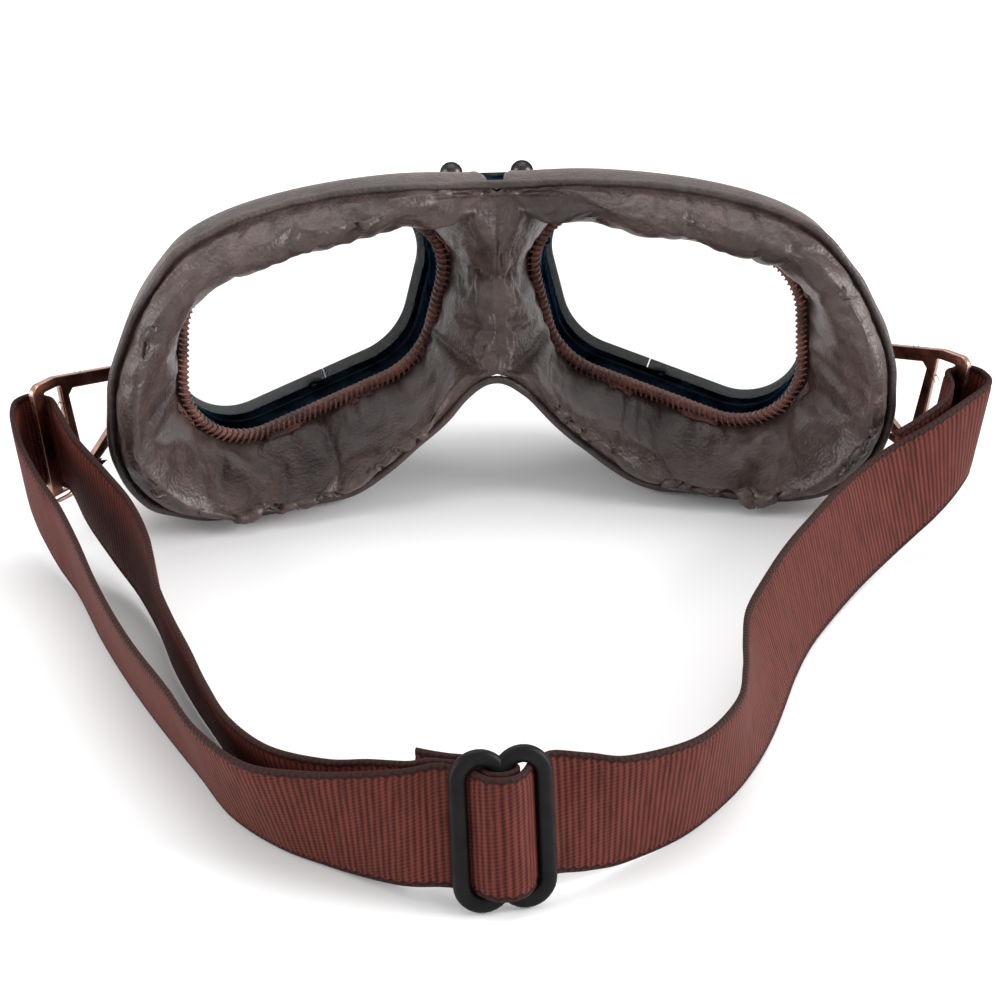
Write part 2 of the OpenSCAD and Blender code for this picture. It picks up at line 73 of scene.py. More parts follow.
def spline(p, i, t, closed):
    """The smooth curve through the points p, at share t of the stretch after point i."""
    n = len(p)
    pick = (lambda k: p[k % n]) if closed else (lambda k: p[min(max(k, 0), n - 1)])
    a, b, c, d = (Vector(pick(i + k)) for k in (-1, 0, 1, 2))
    return 0.5 * (2 * b + (c - a) * t + (2 * a - 5 * b + 4 * c - d) * t * t
                  + (3 * b - a - 3 * c + d) * t ** 3)


def smooth(t):
    t = min(max(t, 0), 1)
    return t * t * (3 - 2 * t)


half = [(x * HALF_WIDTH, z * HEIGHT) for x, z in OUTLINE]
whole = half + [(-x, z) for x, z in half[-2:0:-1]]
mask_outline = [spline(whole, i, k / 12, True) for i in range(len(whole)) for k in range(12)]


def inset_outline(d):
    """The mask's outline, drawn in by d all round."""
    line, n = [], len(mask_outline)
    for i, p in enumerate(mask_outline):
        e = (mask_outline[(i + 1) % n] - mask_outline[i - 1]).normalized()
        line.append(p + d * Vector((e.y, -e.x)))
    return line


trim_line = inset_outline(PIPING_D + 0.15)
half_count = len(trim_line) // 2
Z_TOP, Z_NOTCH = trim_line[0].y, trim_line[half_count].y


def eye_support(a):
    return max(x * math.cos(a) + z * math.sin(a) + r for x, z, r in EYE_CIRCLES)


def eye_reach(a, d):
    """Distance from the lens centre to the eye outline, let out by d, seen from the front."""
    m = Vector((math.cos(a) / math.cos(LENS_TURN), math.sin(a)))
    f = math.atan2(m.y, m.x)
    turns = (math.radians(t) for t in range(-80, 81, 2))
    return min((eye_support(f + t) + d) / math.cos(t) for t in turns) / m.length


def edge_reach(a):
    """Distance from the lens centre to the trim line."""
    n = Vector((math.cos(a), math.sin(a)))
    best = 1e9
    for p, q in zip(trim_line[:half_count], trim_line[1:half_count + 1]):
        e, w = q - p, p - Vector((LENS.x, LENS.z))
        den = n.x * e.y - n.y * e.x
        if abs(den) < 1e-9:
            continue
        r, s = (w.x * e.y - w.y * e.x) / den, (w.x * n.y - w.y * n.x) / den
        if r > 0 and -1e-6 <= s <= 1 + 1e-6:
            best = min(best, r)
    return best


TOP_TURN = math.atan2(Z_TOP - LENS.z, -LENS.x)
NOTCH_TURN = math.atan2(Z_NOTCH - LENS.z, -LENS.x) + 2 * math.pi
WALL_COUNT, FREE_COUNT, ROWS = 40, 160, 32
TUCK = 1 / ROWS
rays = []
for i in range(WALL_COUNT):
    z = Z_TOP + (Z_NOTCH - Z_TOP) * i / WALL_COUNT
    rays.append(math.atan2(z - LENS.z, -LENS.x) % (2 * math.pi))
for i in range(FREE_COUNT):
    rays.append(NOTCH_TURN + (TOP_TURN + 2 * math.pi - NOTCH_TURN) * i / FREE_COUNT)


def ray_facts(i):
    """What a ray needs: its turn, whether it ends at the middle, and how full the roll is."""
    a, wall = rays[i], i <= WALL_COUNT
    outer = -LENS.x / math.cos(a) if wall else edge_reach(a)
    away = 0 if wall else min(a - NOTCH_TURN, TOP_TURN + 2 * math.pi - a)
    z = LENS.z + outer * math.sin(a)
    share = math.sin(math.pi * min(max((z - Z_NOTCH) / (Z_TOP - Z_NOTCH), 0), 1))
    full = 0.32 + 0.68 * smooth(away / math.radians(30))
    return a, wall, outer, share, full


facts = [ray_facts(i) for i in range(len(rays))]


def lens_plane(x):
    return LENS.y + math.tan(LENS_TURN) * (x - LENS.x)


def roll_place(i, q):
    """The back of the roll at share q of ray i."""
    a, wall, outer, share, full = facts[i]
    inner = eye_reach(a, 2.3)
    x1 = max(0, LENS.x + outer * math.cos(a))
    y0 = lens_plane(LENS.x + inner * math.cos(a)) + 0.4
    y1 = WRAP * x1 * x1 + 0.7 - (6 * share if wall else 0)
    rise = (1 - full) * math.sin(math.pi / 2 * q) + full * (1 - (1 - q) ** 2.2)
    crown = full * (CROWN * math.sin(math.pi * q ** 0.8) + 2.6 * math.sin(math.pi * q) ** 0.6)
    if wall:
        crown *= 0.25
    # Above the eye and at the temple the roll hangs over its own edge a little.
    hang = 2.4 * smooth(math.sin(a + 0.25) / 0.5) * math.sin(math.pi * min(q / 0.6, 1)) * full
    r = inner + (outer - inner) * q - hang
    return Vector((LENS.x + r * math.cos(a), y0 + (y1 - y0) * rise + crown,
                   LENS.z + r * math.sin(a)))


def pucker(p, turn, q, side):
    """Depth of the gathers at a point: valleys that run out from both seams."""
    wander = noise.noise(Vector((3.1 * side, q * 1.4, turn * 1.2))) * 0.16
    valley = 0
    for seed, pitch, depth, seam in ((1, 2.4, 2.5, 1 - q), (5, 4.4, 1.2, 1 - q), (9, 3.4, 1.5, q)):
        n = noise.noise(Vector((pitch * math.cos(turn + wander) + seed,
                                pitch * math.sin(turn + wander), seed * side * 1.7)))
        reach = smooth(1 - seam / 0.85) * smooth(seam / 0.28)
        valley += depth * reach * math.exp(-abs(n) / 0.13)
    calm = smooth((abs(p.x) - 9) / 14) * smooth((78 - abs(p.x) * 0.2 - p.z) / 22 + 0.5)
    return min(valley, 3.2) * calm


def gather(mesh):
    """Draws the blown-up leather in along its normals, where the two seams gather it."""
    turns, shares = (mesh.attributes[name].data for name in ("turn", "share"))
    normals = [v.normal.copy() for v in mesh.vertices]
    for v, n, turn, share in zip(mesh.vertices, normals, turns, shares):
        p = v.co / MM - PLACE
        v.co -= n * pucker(p, turn.value, share.value, math.copysign(1, p.x)) * MM


def new_piece(name, bm, *materials, sharp=40):
    """Makes the finished object from a bmesh, smooth except over the sharp angle."""
    mesh = bpy.data.meshes.new(name)
    bm.to_mesh(mesh)
    bm.free()
    mesh.shade_smooth()
    mesh.set_sharp_from_angle(angle=math.radians(sharp))
    obj = bpy.data.objects.new(name, mesh)
    bpy.context.collection.objects.link(obj)
    for m in materials:
        mesh.materials.append(m)
    return obj


def cloth_sheet(grid_point, rows):
    """Both halves of a leather panel as one mesh, joined down the middle of the nose."""
    bm = bmesh.new()
    half_layer = bm.faces.layers.int.new("half")
    turns, shares = (bm.verts.layers.float.new(word) for word in ("turn", "share"))
    seam = {}
    for side in (1, -1):
        grid = []
        for i in range(len(rays)):
            line = []
            for k in range(rows + 1):
                p = grid_point(i, k / rows, side)
                on_seam = facts[i][1] and k == rows
                if on_seam and i in seam:
                    line.append(seam[i])
                    continue
                v = bm.verts.new(placed((0 if on_seam else p.x, p.y, p.z), side))
                v[turns], v[shares] = rays[i], k / rows
                if on_seam:
                    seam[i] = v
                line.append(v)
            grid.append(line)
        for i in range(len(rays)):
            a, b = grid[i], grid[(i + 1) % len(rays)]
            for k in range(rows):
                f = bm.faces.new((a[k], b[k], b[k + 1], a[k + 1]))
                f[half_layer] = side
    bm.verts.index_update()
    return bm


def roll_grid(i, s, side):
    """A point of the roll's pattern, s of the way out on ray i; both sides share one pattern."""
    a, wall = facts[i][:2]
    q = max((s - TUCK) / (1 - TUCK), 0) if wall else \
        min(max((s - TUCK) / (1 - 2 * TUCK), 0), 1) ** 1.2
    p = roll_place(i, q)
    if s < TUCK / 2:
        # The raw edge turns in under the binding.
        p -= Vector((1.1 * math.cos(a), 0.5, 1.1 * math.sin(a)))
    elif s > 1 - TUCK / 2 and not wall:
        # The other edge turns down behind the piping.
        p += Vector((1.3 * math.cos(a), -0.9, 1.3 * math.sin(a)))
    return p


SIM_FRAMES = 20


def inflate(bm, pressure, extra, cap):
    """Blows the panel up as cloth with its seams held, and limits how far a point may go."""
    bm.normal_update()
    bmesh.ops.recalc_face_normals(bm, faces=bm.faces)
    if sum(f.normal.y * f.calc_area() for f in bm.faces) < 0:
        bmesh.ops.reverse_faces(bm, faces=bm.faces)
    held = {v.index for v in bm.verts if v.is_boundary}
    held |= {w.index for v in bm.verts if v.index in held for e in v.link_edges for w in e.verts}
    mesh = bpy.data.meshes.new("panel")
    bm.to_mesh(mesh)
    obj = bpy.data.objects.new("panel", mesh)
    bpy.context.collection.objects.link(obj)
    pins = obj.vertex_groups.new(name="seams")
    pins.add(sorted(held), 1.0, "REPLACE")
    cloth = obj.modifiers.new("Cloth", "CLOTH")
    cloth.settings.quality = 5
    cloth.settings.mass = 0.3
    cloth.settings.tension_stiffness = 25
    cloth.settings.compression_stiffness = 25
    cloth.settings.shear_stiffness = 12
    cloth.settings.bending_stiffness = 2.5
    cloth.settings.use_pressure = True
    cloth.settings.uniform_pressure_force = pressure
    cloth.settings.shrink_min = -extra
    cloth.settings.vertex_group_mass = "seams"
    cloth.settings.effector_weights.gravity = 0
    cloth.collision_settings.use_collision = False
    scene = bpy.context.scene
    cloth.point_cache.frame_start, cloth.point_cache.frame_end = 1, SIM_FRAMES + 2
    for f in range(1, SIM_FRAMES + 1):
        scene.frame_set(f)
    moved = obj.evaluated_get(bpy.context.evaluated_depsgraph_get()).to_mesh()
    for v, w in zip(mesh.vertices, moved.vertices):
        step = w.co - v.co
        if step.length > cap:
            step *= cap / step.length
        v.co = v.co + step
    obj.modifiers.clear()
    scene.frame_set(1)
    bpy.data.objects.remove(obj)
    return mesh


CREASE_Z = 53.0


def brow_fold(p):
    """The brow of the roll hangs over the nose piece, with one deep crease between them."""
    x, z = p.x / MM - PLACE.x, p.z / MM - PLACE.z
    crease = CREASE_Z + 0.024 * x * x
    near = smooth((24 - abs(x)) / 12)
    over = z - crease
    if over > 0:
        push = 3.4 * (1 - math.exp(-over / 2.2)) * smooth(1 - (over - 8) / 14)
    else:
        push = -3.2 * math.exp(over / 3.2)
    return Vector((0, push * near * MM, -0.9 * near * math.exp(-abs(over) / 3) * MM))


def split_halves(name, mesh, thickness, *materials):
    """Thickens a panel, smooths it and cuts it down the middle; both halves keep its normals."""
    bm = bmesh.new()
    bm.from_mesh(mesh)
    bmesh.ops.subdivide_edges(bm, edges=bm.edges, cuts=1, use_grid_fill=True, smooth=0.6)
    bmesh.ops.smooth_vert(bm, verts=[v for v in bm.verts if not v.is_boundary], factor=0.5,
                          use_axis_x=True, use_axis_y=True, use_axis_z=True)
    bm.normal_update()
    top = list(bm.faces)
    sheet = bmesh.ops.duplicate(bm, geom=top)
    lining = [g for g in sheet["geom"] if isinstance(g, bmesh.types.BMFace)]
    for v in {v for f in lining for v in f.verts}:
        v.co -= v.normal * thickness
    bmesh.ops.reverse_faces(bm, faces=lining)
    bm.normal_update()
    bm.verts.index_update()
    normals = [v.normal.copy() for v in bm.verts]
    halves = {}
    for word, side in SIDES.items():
        part = bm.copy()
        part.verts.ensure_lookup_table()
        source = part.verts.layers.int.new("source")
        for v in part.verts:
            v[source] = v.index
        other = [f for f in part.faces if f[part.faces.layers.int["half"]] != side]
        bmesh.ops.delete(part, geom=other, context="FACES")
        order = [v[source] for v in part.verts]
        mesh_part = bpy.data.meshes.new(f"{word}_{name}")
        part.to_mesh(mesh_part)
        part.free()
        mesh_part.shade_smooth()
        mesh_part.normals_split_custom_set_from_vertices([normals[k] for k in order])
        obj = bpy.data.objects.new(f"{word}_{name}", mesh_part)
        bpy.context.collection.objects.link(obj)
        for m in materials:
            mesh_part.materials.append(m)
        halves[word] = obj
    bm.free()
    return halves


def blend_from_middle(obj):
    """Bakes the leather piece's placement into its mesh."""
    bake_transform(obj)


def rgb(code):
    """An sRGB hex colour as linear light."""
    parts = [int(code[i:i + 2], 16) / 255 for i in (1, 3, 5)]
    return [c / 12.92 if c <= 0.04045 else ((c + 0.055) / 1.055) ** 2.4 for c in parts] + [1]


def add(tree, kind, inputs=None, **settings):
    """Adds a node with its settings, and sets or links its inputs."""
    made = tree.nodes.new(kind)
    for name, value in settings.items():
        setattr(made, name, value)
    for socket, value in (inputs or {}).items():
        if isinstance(value, bpy.types.NodeSocket):
            tree.links.new(value, made.inputs[socket])
        else:
            made.inputs[socket].default_value = value
    return made


def new_material(name, **inputs):
    """A material with only its shader, whose uniform values are set on the sockets."""
    made = bpy.data.materials.new(name)
    made.use_nodes = True
    shader = made.node_tree.nodes["Principled BSDF"]
    for socket, value in inputs.items():
        shader.inputs[socket.replace("_", " ")].default_value = value
    return made, made.node_tree, shader


def dress(tree, shader, colour, rough, bump=None):
    """Links the nodes that end a material's colour, roughness and bump to its shader."""
    tree.links.new(colour.outputs[2], shader.inputs["Base Color"])
    tree.links.new(rough.outputs[0], shader.inputs["Roughness"])
    if bump:
        tree.links.new(bump.outputs[0], shader.inputs["Normal"])


def leather(name, dark, light, gloss):
    """Drum-dyed sheepskin: fine pebbled grain, soft crinkles and rubbed, lighter high spots."""
    made, tree, shader = new_material(name, Specular_IOR_Level=0.5, IOR=1.5, Sheen_Weight=0.12,
                                      Sheen_Roughness=0.4, Sheen_Tint=rgb("#b09890"))
    place = add(tree, "ShaderNodeTexCoord").outputs["Object"]
    # Pebbles of the grain are about 0.9 mm across, crinkles about 5 mm, patches about 25 mm.
    pebbles = add(tree, "ShaderNodeTexVoronoi", {"Vector": place, "Scale": 1 / (0.9 * MM)})
    crinkles = add(tree, "ShaderNodeTexNoise", {"Vector": place, "Scale": 1 / (5 * MM),
                                                "Detail": 5, "Roughness": 0.62,
                                                "Distortion": 0.6})
    patches = add(tree, "ShaderNodeTexNoise", {"Vector": place, "Scale": 1 / (25 * MM),
                                               "Detail": 3})
    specks = add(tree, "ShaderNodeTexNoise", {"Vector": place, "Scale": 1 / (0.7 * MM),
                                              "Detail": 3, "Roughness": 0.7})
    worn = add(tree, "ShaderNodeMath", {0: crinkles.outputs["Fac"], 1: patches.outputs["Fac"]},
               operation="MULTIPLY")
    share = add(tree, "ShaderNodeMapRange", {"Value": worn.outputs[0], "From Min": 0.14,
                                             "From Max": 0.4})
    base = add(tree, "ShaderNodeMix", {0: share.outputs[0], 6: rgb(dark), 7: rgb(light)},
               data_type="RGBA")
    speck_share = add(tree, "ShaderNodeMapRange", {"Value": specks.outputs["Fac"],
                                                   "From Min": 0.3, "From Max": 0.7,
                                                   "To Min": 0.82, "To Max": 1.14})
    tone = add(tree, "ShaderNodeMix", {0: 1.0, 6: base.outputs[2], 7: speck_share.outputs[0]},
               data_type="RGBA", blend_type="MULTIPLY")
    rough = add(tree, "ShaderNodeMapRange", {"Value": specks.outputs["Fac"], "From Min": 0.35,
                                             "From Max": 0.65, "To Min": gloss - 0.07,
                                             "To Max": gloss + 0.13})
    soft = add(tree, "ShaderNodeBump", {"Height": crinkles.outputs["Fac"], "Strength": 0.5,
                                        "Distance": 0.6 * MM})
    fine = add(tree, "ShaderNodeBump", {"Height": pebbles.outputs["Distance"], "Strength": 0.5,
                                        "Distance": 0.22 * MM, "Normal": soft.outputs[0]},
               invert=True)
    dust = add(tree, "ShaderNodeBump", {"Height": specks.outputs["Fac"], "Strength": 0.35,
                                        "Distance": 0.25 * MM, "Normal": fine.outputs[0]})
    dress(tree, shader, tone, rough, dust)
    return made


roll_leather = leather("dark sheepskin leather", "#2b1f1d", "#52423e", 0.38)
PRESSURE, EXTRA_CLOTH, FURTHEST = 9.0, 0.03, 3.6 * MM
roll_mesh = inflate(cloth_sheet(roll_grid, ROWS), PRESSURE, EXTRA_CLOTH, FURTHEST)
gather(roll_mesh)
for v in roll_mesh.vertices:
    v.co += brow_fold(v.co)
rolls = split_halves("face_roll", roll_mesh, LEATHER_T * MM, roll_leather)
for word, roll in rolls.items():
    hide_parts("face_pad_cover", "foam_core")
    blend_from_middle(roll)

# ---- Leather skirt ----
# The front of the mask: the same leather drawn from the welt down to the flange of each metal
# eye frame, over the foam, with shallow gathers towards the frames.


SKIRT_ROWS = 18


def skirt_grid(i, s, side):
    a, wall, outer, share, _ = facts[i]
    inner = eye_reach(a, 5.9)
    x1 = max(0, LENS.x + outer * math.cos(a))
    y0 = lens_plane(LENS.x + inner * math.cos(a)) - 0.6
    y1 = WRAP * x1 * x1 - 1.2 - (19 * share ** 0.4 if wall else 0)
    fold = noise.noise(Vector((4.6 * math.cos(a) + 2, 4.6 * math.sin(a), 3.3 * side)))
    start, end = Vector((inner, y0)), Vector((outer, y1))
    if wall:
        shoulder = start.lerp(end, 0.6)
        lift = 0.5 * math.sin(math.pi * s)
    else:
        # From the welt it runs forward over the foam before it turns in to the flange.
        end += Vector((1.3, 1.0))
        shoulder = Vector((outer + 2.2, y1 + 0.6 * (y0 - y1)))
        lift = -1.0 * math.exp(-(fold / 0.09) ** 2) * smooth(1 - s / 0.8) * math.sin(
            math.pi * min(s * 3 + 0.12, 1))
    near = start.lerp(shoulder, 0.7)
    t = 1 - s
    p = t ** 3 * start + 3 * t * t * s * near + 3 * t * s * s * shoulder + s ** 3 * end
    e = (end - start).normalized()
    p += lift * Vector((e.y, -e.x))
    return Vector((LENS.x + p.x * math.cos(a), p.y, LENS.z + p.x * math.sin(a)))


skirt_leather = leather("dark sheepskin skirt", "#241c1c", "#4c3f3d", 0.44)
skirt_bm = cloth_sheet(skirt_grid, SKIRT_ROWS)
bmesh.ops.recalc_face_normals(skirt_bm, faces=skirt_bm.faces)
if sum(f.normal.y * f.calc_area() for f in skirt_bm.faces) > 0:
    bmesh.ops.reverse_faces(skirt_bm, faces=skirt_bm.faces)
skirt_mesh = bpy.data.meshes.new("skirt")
skirt_bm.to_mesh(skirt_mesh)
skirt_bm.free()
for word, skirt in split_halves("leather_skirt", skirt_mesh, LEATHER_T * MM, skirt_leather).items():
    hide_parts("leather_skirt")
    blend_from_middle(skirt)

# ---- Welt piping ----
# A narrow strip of leather wrapped round a cord and sewn between the roll and the skirt.
# It runs all round the mask, a little uneven where the seam pulls it.
PIPING_SIDES = 12


def loft(bm, rings, closed, around=True, caps=False):
    """Joins rows of points, ring after ring, into a skin, and returns its vertices."""
    made = [[bm.verts.new(p) for p in ring] for ring in rings]
    n, m = len(made), len(made[0])
    for i in range(n if closed else n - 1):
        a, b = made[i], made[(i + 1) % n]
        for k in range(m if around else m - 1):
            l = (k + 1) % m
            bm.faces.new((a[k], a[l], b[l], b[k]))
    if caps:
        bm.faces.new(made[0][::-1])
        bm.faces.new(made[-1])
    return made


def outward(bm):
    bmesh.ops.recalc_face_normals(bm, faces=bm.faces)
    return bm


welt_line = inset_outline(PIPING_D / 2)
piping_leather = leather("welt piping leather", "#241c1b", "#4a3c3a", 0.4)
for word, side in SIDES.items():
    line = welt_line[:half_count + 1] if side > 0 else \
        welt_line[half_count:] + welt_line[:1]
    rings = []
    for j, p in enumerate(line):
        i = (j if side > 0 else j + half_count) % len(welt_line)
        e = (welt_line[(i + 1) % len(welt_line)] - welt_line[i - 1]).normalized()
        out = Vector((-e.y, 0, e.x))
        r = PIPING_D / 2 * (0.68 + 0.08 * noise.noise(Vector((p.x * 0.16, p.y * 0.16, 2))))
        turn = 0.4 * noise.noise(Vector((p.x * 0.12, p.y * 0.12, 7)))
        rings.append([placed(Vector((p.x, WRAP * p.x * p.x, p.y)) + r * (
            math.cos(k) * out + math.sin(k) * Vector((0, 1, 0))) + out * turn)
            for k in (2 * math.pi * h / PIPING_SIDES for h in range(PIPING_SIDES))])
    bm = bmesh.new()
    loft(bm, rings, False, caps=True)
    piping = new_piece(f"{word}_welt_piping", outward(bm), piping_leather, sharp=60)
    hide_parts("welt_piping")
    blend_from_middle(piping)

# ---- Metal eye frames ----
# Each eye has a drawn steel ring with a flange that the leather is laced to and a rolled bead
# inside; hinge knuckles are brazed on for the bridge and the bracket. Blackened and polished.
RING_COUNT = 192


def eye_outline(count):
    """Evenly spaced points of the eye outline with their outward turn, from the split down."""
    dense = []
    for k in range(1440):
        a = math.radians(k / 4)
        x, z, r = max(EYE_CIRCLES, key=lambda c: c[0] * math.cos(a) + c[1] * math.sin(a) + c[2])
        dense.append(Vector((x + r * math.cos(a), z + r * math.sin(a), a)))
    # The split lies on the straight stretch at the bottom, and the run starts there.
    first = next(k for k in range(1440) if dense[k].y < 0 and dense[k - 1].x < SPLIT_U
                 and dense[k].x >= SPLIT_U)
    p, q = dense[first - 1], dense[first]
    split = p.lerp(q, (SPLIT_U - p.x) / (q.x - p.x))
    turn = Vector((0, 0, 2 * math.pi))
    dense = [split] + dense[first:] + [p + turn for p in dense[:first]] + [split + turn]
    lengths = [0]
    for p, q in zip(dense, dense[1:]):
        lengths.append(lengths[-1] + (q.xy - p.xy).length)
    points, k = [], 0
    for i in range(count):
        s = lengths[-1] * i / count
        while lengths[k + 1] < s:
            k += 1
        t = (s - lengths[k]) / max(lengths[k + 1] - lengths[k], 1e-9)
        points.append(dense[k].lerp(dense[k + 1], t))
    return points


SPLIT_U = -6.0
eye_line = eye_outline(RING_COUNT)


def at_lens(u, v, w):
    """A point in a lens's own frame: u outwards, v up, w forwards from the opening."""
    c, s = math.cos(LENS_TURN), math.sin(LENS_TURN)
    return Vector((LENS.x + u * c + w * s, LENS.y + u * s - w * c, LENS.z + v))


def let_out(p, d, w):
    """A point of the eye outline, moved out by d, at depth w."""
    return at_lens(p.x + d * math.cos(p.z), p.y + d * math.sin(p.z), w)


def rounded(corners, steps=3):
    """A section's corners (d, w, radius) with each corner rounded."""
    out, n = [], len(corners)
    for i in range(n):
        p = Vector(corners[i][:2])
        r = corners[i][2]
        a = (Vector(corners[i - 1][:2]) - p).normalized()
        b = (Vector(corners[(i + 1) % n][:2]) - p).normalized()
        if r <= 0:
            out.append(p)
            continue
        for k in range(steps + 1):
            t = k / steps
            out.append(p + a * r * (1 - t) ** 2 + b * r * t ** 2)
    return out


def turned(bm, at, profile, steps=32, side=1):
    """A turned part: the profile (radius, height) spun once round an upright axis."""
    before = set(bm.faces)
    verts = [bm.verts.new((r, 0, h)) for r, h in profile]
    edges = [bm.edges.new(pair) for pair in zip(verts, verts[1:])]
    made = bmesh.ops.spin(bm, geom=verts + edges, cent=(0, 0, 0), axis=(0, 0, 1),
                          angle=2 * math.pi, steps=steps, use_merge=True)
    done = set(verts) | {v for f in bm.faces if f not in before for v in f.verts}
    bmesh.ops.remove_doubles(bm, verts=list(done), dist=1e-5)
    for v in done:
        if v.is_valid:
            v.co = placed(Vector(at) + v.co, side)


def tube_profile(r, bore, z0, z1, b=0.25):
    """The section of a sleeve with rounded rims."""
    return [(bore, z0 + b), (bore, z1 - b), (bore + b, z1), (r - b, z1),
            (r - b * 0.3, z1 - b * 0.3), (r, z1 - b), (r, z0 + b), (r - b * 0.3, z0 + b * 0.3),
            (r - b, z0), (bore + b, z0), (bore, z0 + b)]


def block(bm, low, high, side, bevel=0.35, lens=True):
    """A small block with rounded edges, in the lens's frame (u, v, w) or the mask's."""
    made = bmesh.ops.create_cube(bm, size=1)["verts"]
    low, high = Vector(low), Vector(high)
    for v in made:
        v.co = Vector((a + (b - a) * (c + 0.5) for a, b, c in zip(low, high, v.co)))
    edges = {e for v in made for e in v.link_edges}
    made = bmesh.ops.bevel(bm, geom=list(edges), offset=bevel, segments=3, profile=0.5,
                           affect="EDGES", material=-1)["verts"] + made
    for v in {v for v in made if v.is_valid}:
        p = at_lens(v.co.x, v.co.y, v.co.z) if lens else v.co
        v.co = placed(p, side)


BRIDGE_PIN, BRIDGE_PIN_R = (8.2, -31.0), 1.3
BRACKET_PIN, BRACKET_PIN_R, BRACKET_Z = (77.7, -12.0), 1.0, 28.0


def blackened(name, base, rough, noise_mm):
    """Steel blackened in a hot bath and buffed: near black, with a blue cast where it shines."""
    made, tree, shader = new_material(name, Metallic=1.0, Specular_Tint=rgb("#8fa0a8"))
    place = add(tree, "ShaderNodeTexCoord").outputs["Object"]
    film = add(tree, "ShaderNodeTexNoise", {"Vector": place, "Scale": 1 / (noise_mm * MM),
                                            "Detail": 4, "Roughness": 0.6})
    share = add(tree, "ShaderNodeMapRange", {"Value": film.outputs["Fac"], "From Min": 0.35,
                                             "From Max": 0.65})
    colour = add(tree, "ShaderNodeMix", {0: share.outputs[0], 6: rgb(base[0]),
                                         7: rgb(base[1])}, data_type="RGBA")
    gloss = add(tree, "ShaderNodeMapRange", {"Value": film.outputs["Fac"], "From Min": 0.3,
                                             "From Max": 0.7, "To Min": rough[0],
                                             "To Max": rough[1]})
    scratches = add(tree, "ShaderNodeTexNoise", {"Vector": place, "Scale": 1 / (0.5 * MM),
                                                 "Detail": 2})
    bump = add(tree, "ShaderNodeBump", {"Height": scratches.outputs["Fac"], "Strength": 0.06,
                                        "Distance": 0.1 * MM})
    dress(tree, shader, colour, gloss, bump)
    return made


ring_steel = blackened("blackened ring steel", ("#101316", "#20262b"), (0.24, 0.4), 7)
RING_SECTION = rounded([(0, 0, 0.3), (5.5, 0, 0.35), (5.5, 1, 0.35), (1.3, 1, 0.4),
                        (1.2, 9, 0.3), (0, 9, 0.3), (0, 5.4, 0), (-0.35, 4.9, 0.15),
                        (-0.35, 4.3, 0.15), (0, 3.8, 0)])
for word, side in SIDES.items():
    bm = bmesh.new()
    loft(bm, [[placed(let_out(p, d, w), side) for d, w in RING_SECTION] for p in eye_line], True)
    turned(bm, (*BRIDGE_PIN, 0), tube_profile(2.6, BRIDGE_PIN_R + 0.05, 50, 62), side=side)
    block(bm, (-34.0, 50.4 - LENS.z, 2.9), (-28.6, 61.6 - LENS.z, 4.9), side)
    for low, high in ((-10, -4.7), (4.7, 10)):
        turned(bm, (*BRACKET_PIN, BRACKET_Z),
               tube_profile(2.2, BRACKET_PIN_R + 0.05, low, high), side=side)
        block(bm, (30.6, BRACKET_Z - LENS.z + low + 0.4, 2.6),
              (35.0, BRACKET_Z - LENS.z + high - 0.4, 4.4), side)
    eye_frame = new_piece(f"{word}_eye_ring", outward(bm), ring_steel, sharp=32)
    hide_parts(f"{word}_eye_frame")
    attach(eye_frame, f"{word}_frame")

# ---- Front rims and their screws ----
# A pressed steel rim slips over each ring and holds the lens. It is split at the bottom, where
# a small screw through two lugs draws it tight.
rim_steel = blackened("black nickel rim", ("#121315", "#2a2c2f"), (0.1, 0.24), 9)
RIM_SECTION = rounded([(1.35, 6.2, 0.25), (2.8, 6.2, 0.3), (2.8, 13, 1.6), (-0.8, 13, 0.8),
                       (-0.8, 11.5, 0.3), (1.35, 11.5, 0.1)], 5)
screw_steel = blackened("plated screw steel", ("#77746f", "#9a9690"), (0.2, 0.34), 2)
for word, side in SIDES.items():
    bm = bmesh.new()
    loft(bm, [[placed(let_out(p, d, w), side) for d, w in RIM_SECTION]
              for p in eye_outline(RING_COUNT * 4)], False, caps=True)
    for u in (-10.2, -5.2):
        block(bm, (u, -26, 7), (u + 3.4, -18.6, 12), side, bevel=0.6)
    rim = new_piece(f"{word}_rim", outward(bm), rim_steel, sharp=32)
    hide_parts(f"{word}_front_rim")
    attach(rim, f"{word}_frame")
    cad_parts[f"{word}_rim_screw"].data.materials.clear()
    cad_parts[f"{word}_rim_screw"].data.materials.append(screw_steel)

